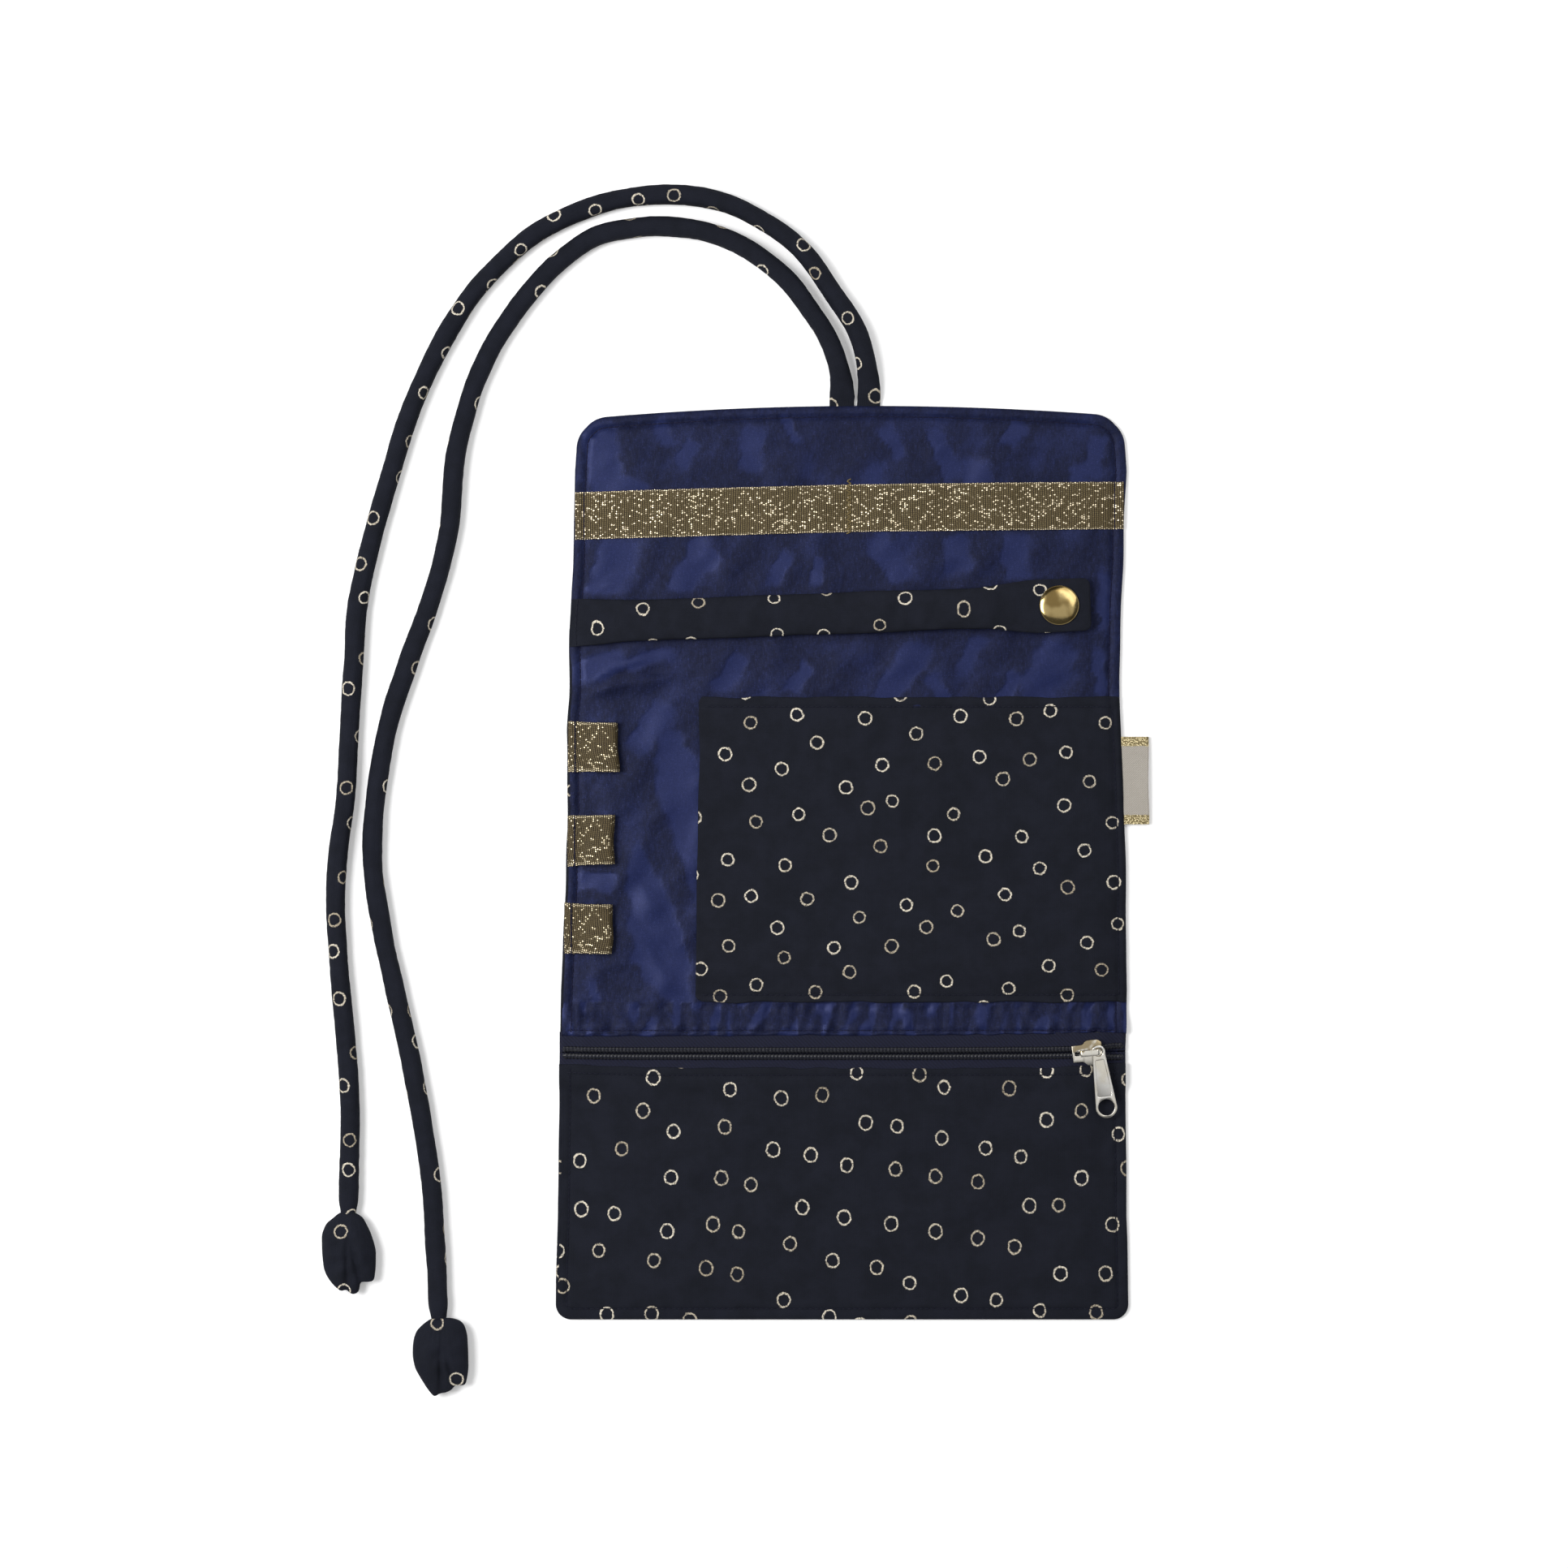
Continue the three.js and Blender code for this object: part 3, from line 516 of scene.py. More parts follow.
@dataclass(frozen=True)
class WovenLabel:
    """Satin-woven label tape: cream, with a glittering gold border band at each end and a bare field."""

    cream: str = "a19b92"
    shadow: str = "7d776d"
    # A painted glint colour, for pale spots on the gold bands
    gold: str = "594c2a"
    painted_glint: str = "e6d6a8"
    weft: str = "8f8055"
    band: float = 3.0
    pitch: float = 0.4

    def material(self, name: str, middle: float, long: float) -> bpy.types.Material:
        """Makes the label's finish.

        Args:
            name: the piece's name.
            middle: Y of its middle, in millimetres.
            long: its length in Y, in millimetres.

        Returns:
            The material.
        """
        material, tree = new_material(name, Slot.LABEL)
        place = millimetres(tree, False)
        ragged = split(place)[1] + (mottle(place, 0.5, 2, 0.6) - 0.5)
        edge = long / 2 - self.band
        ends = (ragged - middle).maths("ABSOLUTE").ramp(edge - 0.1, edge + 0.1)
        weft = threads(place, self.pitch, "X", 0.2)
        twill = threads(millimetres(tree, False, turn=46), 0.5, "X", 0.6)
        weave = twill * 0.7 + threads(place, self.pitch, "Y", 0.2) * weft
        patchy = mottle(place, 1.6, 4, 0.75) * 0.6 + weave
        cream = patchy.ramp(0.35, 1.1, 0.75, 0).mix(self.cream, self.shadow)
        # Painted glints: pale spots mottled over the gold bands
        gold = mottle(place, 0.55, 2, 0.8).ramp(0.46, 0.6).mix(self.gold, self.painted_glint)
        gold = weft.ramp(0, 0.6, 0.4, 0).mix(gold, self.weft)
        shade(ends.mix(cream, gold), ends.ramp(0, 1, 0.62, 0.4), bumped(weave, 0.06), metal=ends * 0.45)
        return material


PRINT = PrintCotton()
TAFFETA = Taffeta()
GLITTER = GlitterRibbon()
# The loops' copy of the ribbon is painted darker as their painted shade, and with fewer painted glints
SHADED_LOOP_GLITTER = GlitterRibbon("5e5239", "17110a", "e6d7b4", rare=1.54)
TAPE = PlainCloth("171824", "1f2131", 0.62, Slot.TAPE, gloss=0.08, depth=0.03)
NYLON = PlainCloth("0f1014", "1a1b22", 0.5, Slot.COIL, "X", 0.42, 0.01, 0.24)
DARK_THREAD = PlainCloth("0c0d14", "1b1d2b", 0.2, Slot.PRINT, "DIAGONAL", 0.6, 0.03, 0.1)
BLUE_THREAD = PlainCloth("0b0c1c", "181a38", 0.2, Slot.LINING, "DIAGONAL", 0.55, 0.03, 0.1)
GOLD_THREAD = PlainCloth("4b3f28", "80704a", 0.2, Slot.RIBBON, "DIAGONAL", 0.6, 0.03, 0.15)
BATTING = PlainCloth("d9d5ca", "efece4", 1.6, Slot.WADDING, "DIAGONAL", 0.95, 0.25)
NICKEL = PlatedMetal("e6e4df", "dcd6c8", 0.2, Slot.NICKEL)
# The slider body's darker tan bloom, in soft patches and growing toward its upper side, is painted shade
CAST_BODY = PlatedMetal("dedad0", "8a7850", 0.2, Slot.NICKEL, 2.6, (-64.4, -61.2), 0.05)
PALE_GOLD = PlatedMetal("ab9768", "79643a", 0.15, Slot.SNAP, 5, hammered=0.16)
LABEL = WovenLabel()


# Shape building blocks, all in millimetres


def smooth(share: np.ndarray | float) -> np.ndarray:
    """Eases from 0 to 1 as share goes from 0 to 1."""
    share = np.clip(share, 0, 1)
    return share * share * (3 - 2 * share)


def ridge(off: np.ndarray, width: float) -> np.ndarray:
    """A bell curve, 1 where off is 0."""
    return np.exp(-((off / width) ** 2))


def quarter_round(inset: np.ndarray, radius: float) -> np.ndarray:
    """Rises from 0 at an edge to 1 at radius inside it, as a quarter circle does."""
    return np.sqrt(1 - np.clip(1 - inset / radius, 0, 1) ** 2)


def inside(outline: Sequence[tuple[float, float]], x: np.ndarray, y: np.ndarray) -> np.ndarray:
    """How far points lie inside a closed outline.

    Args:
        outline: its corners.
        x: places across.
        y: places along.

    Returns:
        Distances to the outline, below zero outside it.
    """
    near = np.full(np.shape(x), np.inf)
    within = np.zeros(np.shape(x), bool)
    for (x0, y0), (x1, y1) in zip(outline, (*outline[1:], outline[0])):
        run_x, run_y = x1 - x0, y1 - y0
        share = np.clip(((x - x0) * run_x + (y - y0) * run_y) / (run_x**2 + run_y**2), 0, 1)
        near = np.minimum(near, np.hypot(x - x0 - share * run_x, y - y0 - share * run_y))
        crosses = (y0 > y) != (y1 > y)
        within ^= crosses & (x < x0 + (y - y0) * run_x / (run_y if y1 != y0 else 1))
    return np.where(within, near, -near)


def corner_pull(
    across: np.ndarray, along: np.ndarray, radius: np.ndarray | float
) -> tuple[np.ndarray, np.ndarray]:
    """How far a square grid's corner is drawn in to make it round.

    Args:
        across: distances from the side.
        along: distances from the end.
        radius: the corner's radius.

    Returns:
        Shifts away from the side and from the end.
    """
    p, q = 1 - across / radius, 1 - along / radius
    corner = (p > 0) & (q > 0)
    pull = np.where(corner, np.maximum(p, q) / np.maximum(np.hypot(p, q), 1e-9), 1)
    return tuple(np.where(corner, radius * part * (1 - pull), 0) for part in (p, q))


@dataclass(frozen=True)
class Ripples:
    """A seeded field of soft waves, about 0 with a spread of 1."""

    size: float
    stretch: float = 1
    direction: float = 0
    seed: int = 1
    count: int = 40

    def at(self, x: np.ndarray, y: np.ndarray | float = 0) -> np.ndarray:
        """Reads the field.

        Args:
            x: places across, in millimetres.
            y: places along, in millimetres.

        Returns:
            The field's value at each place.
        """
        luck = np.random.default_rng(self.seed)
        turn = math.radians(self.direction)
        total = np.zeros(np.broadcast(x, y).shape)
        for _ in range(self.count):
            angle, length = luck.uniform(0, math.tau), self.size * luck.uniform(0.65, 1.6)
            phase = luck.uniform(0, math.tau)
            long, short = math.cos(angle) / length / self.stretch, math.sin(angle) / length
            wave_x = long * math.cos(turn) - short * math.sin(turn)
            wave_y = long * math.sin(turn) + short * math.cos(turn)
            total += np.cos(math.tau * (wave_x * x + wave_y * y) + phase)
        return total * math.sqrt(2 / self.count)


@dataclass(frozen=True)
class Crease:
    """A soft ridge in cloth between two points, steeper on one side, which fades at its ends."""

    start: tuple[float, float]
    end: tuple[float, float]
    height: float
    width: float
    bow: float = 0
    sewn_start: bool = False

    def at(self, x: np.ndarray, y: np.ndarray) -> np.ndarray:
        """Reads the ridge's height.

        Args:
            x: places across, in millimetres.
            y: places along, in millimetres.

        Returns:
            The height at each place, in millimetres.
        """
        run = np.subtract(self.end, self.start)
        length = math.hypot(*run)
        share = ((x - self.start[0]) * run[0] + (y - self.start[1]) * run[1]) / length**2
        off = ((y - self.start[1]) * run[0] - (x - self.start[0]) * run[1]) / length
        held = np.clip(share, 0, 1)
        off = off - self.bow * 4 * held * (1 - held)
        width = self.width * np.where(off < 0, 1.7, 0.8) * (0.55 + 0.45 * np.sin(math.pi * held))
        begun = smooth((share + 0.02) * 12) if self.sewn_start else smooth(share * 2.2)
        return self.height * (smooth((1 - share) * 2.2) * begun) * ridge(off, width)


def steps(start: float, end: float, step: float) -> list[float]:
    """Evenly spaced numbers from start up to, but without, end."""
    count = max(1, round(abs(end - start) / step))
    return [start + (end - start) * i / count for i in range(count)]


def travelled(line: np.ndarray) -> np.ndarray:
    """The running length at each point of a line."""
    return np.concatenate([[0], np.cumsum(np.linalg.norm(np.diff(line, axis=0), axis=1))])


def even(line: np.ndarray, step: float) -> np.ndarray:
    """Spaces a line's points evenly, about step apart.

    Args:
        line: its points.
        step: the spacing.

    Returns:
        The new points.
    """
    run = travelled(line)
    at = np.linspace(0, run[-1], max(2, round(run[-1] / step) + 1))
    return np.stack([np.interp(at, run, line[:, k]) for k in range(line.shape[1])], axis=1)


def rounded_path(points: Sequence[Sequence[float]], step: float) -> np.ndarray:
    """A centripetal Catmull-Rom curve through points, as the CAD model's cords use.

    Args:
        points: the points, two or three numbers each.
        step: spacing of the returned points.

    Returns:
        Evenly spaced points along the curve.
    """
    given = np.asarray(points, float)
    full = np.vstack([2 * given[0] - given[1], given, 2 * given[-1] - given[-2]])
    dense = []
    for before, start, end, after in zip(full, full[1:], full[2:], full[3:]):
        steps_between = (start - before, end - start, after - end)
        gaps = [max(np.linalg.norm(between), 1e-6) ** 0.5 for between in steps_between]
        slope_in = (start - before) / gaps[0] - (end - before) / (gaps[0] + gaps[1]) + (end - start) / gaps[1]
        slope_out = (end - start) / gaps[1] - (after - start) / (gaps[1] + gaps[2]) + (after - end) / gaps[2]
        slope_in, slope_out = slope_in * gaps[1], slope_out * gaps[1]
        for t in np.linspace(0, 1, 24, endpoint=False):
            square, cube = t * t, t**3
            dense.append(
                (2 * cube - 3 * square + 1) * start + (cube - 2 * square + t) * slope_in
                + (3 * square - 2 * cube) * end + (cube - square) * slope_out
            )
    dense.append(given[-1])
    return even(np.array(dense), step)


def tube(
    path: np.ndarray, widths: np.ndarray, heights: np.ndarray, sides: int, square: float = 1.0
) -> np.ndarray:
    """Places of a tube round a path that runs level or nearly so.

    Args:
        path: the centre line, one point per row.
        widths: the tube's width at each point.
        heights: its height at each point.
        sides: points round it.
        square: 1 for an ellipse, less for a fuller section.

    Returns:
        Rows along the path, columns round it, with the last column on the first.
    """
    along = np.gradient(path, axis=0)
    along /= np.linalg.norm(along, axis=1, keepdims=True)
    side = np.stack([-along[:, 1], along[:, 0], np.zeros(len(path))], axis=1)
    side /= np.linalg.norm(side, axis=1, keepdims=True)
    up = np.cross(along, -side)
    up *= np.where(up[:, 2:] < 0, -1, 1)
    angle = np.linspace(0, math.tau, sides + 1)
    cos, sin = (np.sign(part) * np.abs(part) ** square for part in (np.cos(angle), np.sin(angle)))
    reach = np.asarray(widths)[:, None, None] / 2 * cos[None, :, None] * side[:, None]
    rise = np.asarray(heights)[:, None, None] / 2 * sin[None, :, None] * up[:, None]
    return path[:, None] + reach + rise


def scaled(places: np.ndarray, path: np.ndarray, scale: np.ndarray) -> np.ndarray:
    """A tube's places drawn toward its path by a scale for each of them."""
    return path[:, None] + (places - path[:, None]) * scale[:, :, None]


def lengths(places: np.ndarray, axis: int) -> np.ndarray:
    """Distances along a grid's lines.

    Args:
        places: the grid.
        axis: 0 to measure along its rows' direction, 1 across.

    Returns:
        The running length at each place.
    """
    gaps = np.linalg.norm(np.diff(places, axis=axis), axis=2)
    start = np.zeros_like(np.take(gaps, [0], axis=axis))
    return np.concatenate([start, np.cumsum(gaps, axis=axis)], axis=axis)


# Meshes and objects


def to_mesh(shape: bmesh.types.BMesh) -> bpy.types.Mesh:
    """The mesh of an edited shape, which is used up.

    Args:
        shape: the shape.

    Returns:
        The mesh.
    """
    mesh = bpy.data.meshes.new("shape")
    shape.to_mesh(mesh)
    shape.free()
    return mesh


def placed(name: str, data: bpy.types.ID) -> bpy.types.Object:
    """A new object of some data, put in the scene.

    Args:
        name: its name.
        data: its mesh, lamp or camera.

    Returns:
        The object.
    """
    made = bpy.data.objects.new(name, data)
    bpy.context.scene.collection.objects.link(made)
    return made


def grid_mesh(
    places: np.ndarray, thickness: float = 0, uv: np.ndarray | None = None, taut: np.ndarray | None = None
) -> bpy.types.Mesh:
    """Makes a grid's mesh, facing the way that its columns cross its rows.

    Args:
        places: rows by columns by three, in millimetres.
        thickness: cloth thickness added behind the grid, in millimetres.
        uv: rows by columns by two, in millimetres; measured along the grid where it isn't given.
        taut: rows by columns, how smooth the cloth lies, for its material.

    Returns:
        The mesh, with its UV map in metres.
    """
    row_count, column_count = places.shape[:2]
    if uv is None:
        middle = lengths(places, 1)
        uv = np.stack([middle - middle.mean(axis=1, keepdims=True), lengths(places, 0)], axis=2)
    shape = bmesh.new()
    order = shape.verts.layers.int.new("order")
    bmesh.ops.create_grid(shape, x_segments=column_count - 1, y_segments=row_count - 1, size=1)
    for index, (vertex, place) in enumerate(zip(shape.verts, (places.reshape(-1, 3) * MM).tolist())):
        vertex.co = place
        vertex[order] = index
    if thickness:
        bmesh.ops.solidify(shape, geom=shape.faces[:], thickness=thickness * MM)
    mesh = to_mesh(shape)
    indices = np.empty(len(mesh.vertices), np.int32)
    mesh.attributes["order"].data.foreach_get("value", indices)
    corners = np.empty(len(mesh.loops), np.int32)
    mesh.loops.foreach_get("vertex_index", corners)
    layer = mesh.uv_layers.new(name="UVMap")
    layer.data.foreach_set("uv", (uv.reshape(-1, 2) * MM).astype(np.float32)[indices[corners]].ravel())
    mesh.attributes.remove(mesh.attributes["order"])
    if taut is not None:
        values = taut.ravel()[indices].astype(np.float32)
        mesh.attributes.new("taut", "FLOAT", "POINT").data.foreach_set("value", values)
    return mesh


def plan_mesh(places: np.ndarray, thickness: float = 0, taut: np.ndarray | None = None) -> bpy.types.Mesh:
    """Makes a grid's mesh, as grid_mesh does, with X and Y for its UV map."""
    return grid_mesh(places, thickness, places[:, :, :2], taut)


def joined(meshes: Sequence[bpy.types.Mesh], close: bool = True) -> bpy.types.Mesh:
    """Joins meshes, and merges what meets.

    Args:
        meshes: the meshes, which are used up.
        close: fill the holes that stay, and turn all faces outwards.

    Returns:
        The joined mesh.
    """
    shape = bmesh.new()
    for mesh in meshes:
        shape.from_mesh(mesh)
        bpy.data.meshes.remove(mesh)
    bmesh.ops.remove_doubles(shape, verts=shape.verts, dist=1e-6)
    if close:
        bmesh.ops.holes_fill(shape, edges=[edge for edge in shape.edges if edge.is_boundary], sides=0)
        bmesh.ops.recalc_face_normals(shape, faces=shape.faces)
    return to_mesh(shape)


def piece(
    name: str, mesh: bpy.types.Mesh, material: bpy.types.Material, sharp: float = 55
) -> bpy.types.Object:
    """Makes a finished piece of a mesh, and reports it.

    Args:
        name: the piece's name.
        mesh: its mesh.
        material: its finish, which knows its slot.
        sharp: edges that turn by more degrees than this stay crisp.

    Returns:
        The object.
    """
    mesh.name = name
    mesh.materials.clear()
    mesh.materials.append(material)
    mesh.shade_smooth()
    mesh.set_sharp_from_angle(angle=math.radians(sharp))
    made = placed(name, mesh)
    log.info("%s: %d faces", name, len(mesh.polygons))
    return made


def ride(body: str, *made: bpy.types.Object) -> None:
    """Fixes pieces to a body."""
    for one in made:
        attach(one, body)


@dataclass(frozen=True)
class Thread:
    """Sewing thread in lockstitch: each stitch stands on the cloth and dips into it at its ends."""

    stitch: float = 1.75
    thick: float = 0.36
    rise: float = 0.1
    dip: float = -0.2

    def mesh(self, lines: Sequence[np.ndarray], below: bool = False) -> bpy.types.Mesh:
        """Makes the threads along some lines.

        Args:
            lines: points on the cloth's surface, one array per seam.
            below: the cloth is seen from below.

        Returns:
            One mesh.
        """
        meshes = []
        for line in lines:
            run = travelled(line)
            count = max(1, round(run[-1] / self.stitch))
            parts = np.array([0, 0.09, 0.24, 0.5, 0.76, 0.91])
            at = (np.arange(count)[:, None] + parts).ravel() * run[-1] / count
            lift = np.tile([self.dip, 0.0, self.rise, self.rise * 1.2, self.rise, 0.0], count)
            path = np.stack([np.interp(at, run, line[:, k]) for k in range(3)], axis=1)
            path[:, 2] += -lift if below else lift
            thick = np.full(len(path), self.thick)
            meshes.append(grid_mesh(tube(path, thick, thick * 0.85, 6)))
        return joined(meshes)

    def sewn(
        self, name: str, lines: Sequence[np.ndarray], colour: PlainCloth, finish: str
    ) -> bpy.types.Object:
        """Makes a piece of the threads along some seams, each an array of points on the cloth's surface."""
        return piece(name, self.mesh(lines), colour.material(finish))


TOPSTITCH = Thread()
ZIGZAG = Thread(2.4, 0.42, 0.16, -0.12)
TAPE_SEWING = Thread(2.26, 0.34, 0.06, -0.12)
SEAM_STEP = 0.7


# The pouch's plan and heights


def over_grid(insets: Sequence[float], heights: Sequence[float]) -> tuple[np.ndarray, np.ndarray]:
    """The column's inset and the row's height at each point of a grid."""
    return np.broadcast_arrays(np.asarray(insets, float)[None], np.asarray(heights, float)[:, None])


@dataclass(frozen=True)
class Plan:
    """The open pouch seen from above, and how high its cloths lie over it."""

    top: float = 141.6
    bottom: float = -148.55
    width: float = 177.0
    top_bow: float = 3.9
    top_radius: float = 9.0
    bottom_radius: float = 5.0
    stitch_inset: float = 3.5
    seam_height: float = 1.0
    lining_height: float = 1.78
    edge_radius: float = 1.5
    lining_end: float = -58.45
    lining_hem: float = -56.6
    gather_line: float = -50.4
    front_end: float = -68.45
    front_hem: float = -70.8
    chain: float = -63.25
    pocket_left: float = -46.2
    pocket_low: float = -47.7
    pocket_high: float = 49.1
    strap_root: tuple[float, float] = (-86.6, 72.5)
    strap_slope: float = 0.036
    strap_half: float = 7.4
    strap_end: float = 81
    gather_start: float = -47.5
    taut_low: float = 0.27
    taut_high: float = 0.88
    lining_rise: float = 0.22
    lining_groove: float = 0.55
    lining_ply: float = 0.42
    deepest_hollow: float = 0.4
    outer_low: float = 0.04
    outer_groove: float = 0.3
    front_rise: float = 1.45
    front_groove: float = 0.42
    front_ply: float = 0.44
    lining_hem_groove: float = 0.3
    front_hem_groove: float = 0.25
    tape_pinched: float = 0.37
    tape_rise: float = 1.2
    left: tuple[tuple[float, float], ...] = (
        (-149, -91.3), (-136.6, -91.3), (-116, -90.6), (-90, -90.3), (-64.5, -90.1), (-43.9, -89.6),
        (-33.6, -89.1), (-13, -88.3), (7.6, -87.6), (38.5, -87.7), (48.8, -87.1), (69.4, -87.0), (90, -85.8),
        (100.3, -85.5), (120.9, -85.2), (131.2, -84.6), (142, -84.0),
    )
    right: tuple[tuple[float, float], ...] = (
        (-149, 90.6), (-136.6, 90.6), (-116, 89.9), (-90, 89.9), (-66, 89.5), (-43.9, 90.1), (-33.6, 89.9),
        (-13, 89.9), (7.6, 89.4), (38.5, 88.3), (48.8, 87.8), (56, 87.7), (69.4, 88.0), (90, 88.8),
        (100.3, 89.1), (120.9, 89.9), (131.2, 89.4), (142, 88.7),
    )
    creases: tuple[Crease, ...] = (
        Crease((-83, 50.5), (-52, 62.5), 1.0, 1.9, 1.0, True),
        Crease((-82, 50), (-46, 57), 0.85, 1.6, 0.8, True),
        Crease((-84, 64.5), (-66, 62), 0.5, 1.3, 0.5, True),
        Crease((-84, 81), (-70, 88), 0.45, 1.5, -0.5, True),
        Crease((-84, 24), (-60, 8), 0.35, 2.4, 1.0),
        Crease((-80, 6), (-52, -30), 0.55, 3.0, 1.5),
        Crease((-84, -8), (-55, -40), 0.5, 2.6, 2.0),
        Crease((-78, 40), (-50, 22), 0.35, 3.2, -1.5),
        Crease((-70, -34), (-49, -47), 0.55, 1.9, 0.8),
        Crease((-64, -28), (-50, -46), 0.5, 1.6, -0.6),
        Crease((-84, -24), (-58, -46), 0.4, 2.2, 1.0),
        Crease((-55, 96), (-20, 88), 0.35, 3.5, 1.0),
        Crease((-10, 60), (28, 66), 0.4, 2.6, 1.0),
        Crease((20, 92), (52, 97), 0.35, 3.0, -1.0),
        Crease((40, 54), (78, 62), 0.45, 2.4, 1.0),
        Crease((-30, 124), (10, 128), 0.3, 3.0, 1.0),
        Crease((30, 122), (64, 131), 0.35, 3.0, -1.5),
        Crease((-76, 122), (-52, 131), 0.35, 2.6, 1.2),
        Crease((-36, 54), (-8, 58), 0.45, 2.0, -0.8),
    )
    # Where the lining lies taut, which its material paints paler as painted sheen: each patch's middle, half
    # length, half width and turn
    taut: tuple[tuple[float, float, float, float, float], ...] = (
        (-75.5, 123.5, 11, 6, 100), (-67, 115.5, 5, 3.5, 150), (-57, 133.5, 4.5, 2.2, 115),
        (-49.5, 126, 5, 2.6, 60), (-28.8, 128, 7, 4, 80), (-16.7, 133.8, 5, 1.8, 120),
        (10.6, 118.9, 5, 3, 90), (42.2, 118.9, 6, 5, 100), (75, 119.4, 4, 3.4, 90), (32, 126, 9, 3, 115),
        (80, 125.5, 7, 3, 75), (15.7, 130, 6, 2.5, 120), (54, 132.5, 5, 3, 60), (-72.6, 89.3, 10, 7, 75),
        (-48.2, 89.3, 10, 4.5, 62), (-42, 93, 4, 2.5, 90), (-8.2, 88.2, 5, 2, 80), (-20, 90, 6, 2.4, 65),
        (14.4, 93.1, 9, 4.2, 125), (35.8, 94.4, 5.5, 4.5, 100), (55.1, 92.6, 8.5, 4.6, 95),
        (82.7, 79.7, 10, 2, 88), (-77, 58.6, 9, 4, 20), (-61.5, 61.2, 8, 3, 15), (-35.8, 56.5, 7, 3.5, 50),
        (-13.9, 55.2, 6, 3, 60), (18.3, 56.5, 11, 4.6, 55), (29.9, 51.9, 4, 2, 110), (40.7, 63, 7, 3, 60),
        (53, 52.7, 4.5, 2.2, 60), (65.1, 57.8, 10, 6.5, 60), (81.4, 56.5, 8, 1.8, 95),
        (-61.3, 39, 8, 4.2, 55), (-79.6, -47, 5, 1.6, 95), (-78.5, -9.6, 6, 3, 0),
    )
    # The two long taut stretches beside the pocket, by their corners
    wedges: tuple[tuple[tuple[float, float], ...], ...] = (
        (
            (-57, 39.5), (-60.7, 22.8), (-57, 14), (-51.9, -0.6), (-45, -22), (-40, -22), (-40, 24),
            (-45, 27.2), (-51.9, 36.1),
        ),
        (
            (-65.2, 3.6), (-62, -1.8), (-57, -11.9), (-51.9, -22.7), (-49.2, -36), (-48.5, -49.5),
            (-53.8, -49.8), (-60, -43), (-65.9, -36.2), (-67.7, -25.9), (-68.3, -6.9),
        ),
    )

    def taut_at(self, x: np.ndarray, y: np.ndarray) -> np.ndarray:
        """How taut and smooth the lining lies, from 0 to 1: in patches, long ones beside the pocket. Its
        material paints taut cloth paler as painted sheen and loose cloth darker as painted shade.

        Args:
            x: places across, in millimetres.
            y: places along, in millimetres.

        Returns:
            The tautness at each place.
        """
        warp_x = x + 0.5 * Ripples(7, seed=15, count=24).at(x, y)
        warp_y = y + 0.5 * Ripples(9, seed=16, count=24).at(x, y)
        taut = 0.0 * x
        for middle_x, middle_y, long, wide, turn in self.taut:
            cos, sin = math.cos(math.radians(turn)), math.sin(math.radians(turn))
            along = ((warp_x - middle_x) * cos + (warp_y - middle_y) * sin) / long
            across = ((warp_y - middle_y) * cos - (warp_x - middle_x) * sin) / wide
            side = smooth((1.1 - across) / 0.3) * smooth((1.35 + across) / 0.9)
            taut = np.maximum(taut, side * smooth((1.3 - np.abs(along)) / 0.6))
        for wedge in self.wedges:
            taut = np.maximum(taut, smooth(0.5 + inside(wedge, warp_x, warp_y) / 2.2))
        veil = self.taut_low + 0.13 * Ripples(13, 2.2, 68, seed=17, count=40).at(x, y)
        veil += 0.06 * Ripples(5, 2, 60, seed=19).at(x, y)
        taut = veil + (self.taut_high - veil) * taut
        # Looser beside the ring strap, where the lining's darker colour is the strap's painted shadow, and
        # gathered in a strip above the zip
        root_x, root_y = self.strap_root
        from_strap = np.abs(y - root_y - self.strap_slope * (x - root_x)) - self.strap_half
        taut = taut * (1 - 0.75 * smooth((3 - from_strap) / 3) * smooth((self.strap_end - x) / 3))
        strip = smooth((Ripples(5.5, 3, 82, seed=18, count=30).at(x, y) - 0.1) / 1.2)
        return np.clip(np.where(y < self.gather_start, 0.15 + 0.75 * strip, taut), 0, 1)

    def left_at(self, y: np.ndarray | float) -> np.ndarray:
        """X of the left edge at y."""
        return np.interp(y, *np.array(self.left).T) + 0.07 * Ripples(24, seed=3, count=12).at(y)

    def right_at(self, y: np.ndarray | float) -> np.ndarray:
        """X of the right edge at y."""
        return np.interp(y, *np.array(self.right).T) + 0.07 * Ripples(24, seed=4, count=12).at(y)

    def top_at(self, x: np.ndarray) -> np.ndarray:
        """Y of the flap's top edge at x."""
        return self.top - self.top_bow * ((x - 8) / 88) ** 2

    def spread(self, insets: Sequence[float], heights: Sequence[float]) -> tuple[np.ndarray, np.ndarray]:
        """Lays a grid over the plan, with its corners rounded.

        Args:
            insets: columns, as distances from the left edge of the nominal width.
            heights: rows, as nominal heights in Y, whose top and bottom follow the edges.

        Returns:
            X and Y of every point.
        """
        column, nominal = over_grid(insets, heights)
        y = nominal
        share = np.clip((column - 8) / (self.width - 16), 0, 1)
        for _ in range(2):
            left, right = self.left_at(y), self.right_at(y)
            x = left + column + (right - left - self.width) * share
            y = nominal + (self.top_at(x) - self.top) * np.clip((nominal - 70) / (self.top - 78), 0, 1)
        from_side = np.minimum(column, self.width - column)
        inward = np.where(column < self.width / 2, 1, -1)
        ends = ((self.top - nominal, self.top_radius, -1), (nominal - self.bottom, self.bottom_radius, 1))
        for from_end, radius, down in ends:
            across, along = corner_pull(from_side, from_end, radius)
            x, y = x + inward * across, y + down * along
        return x, y

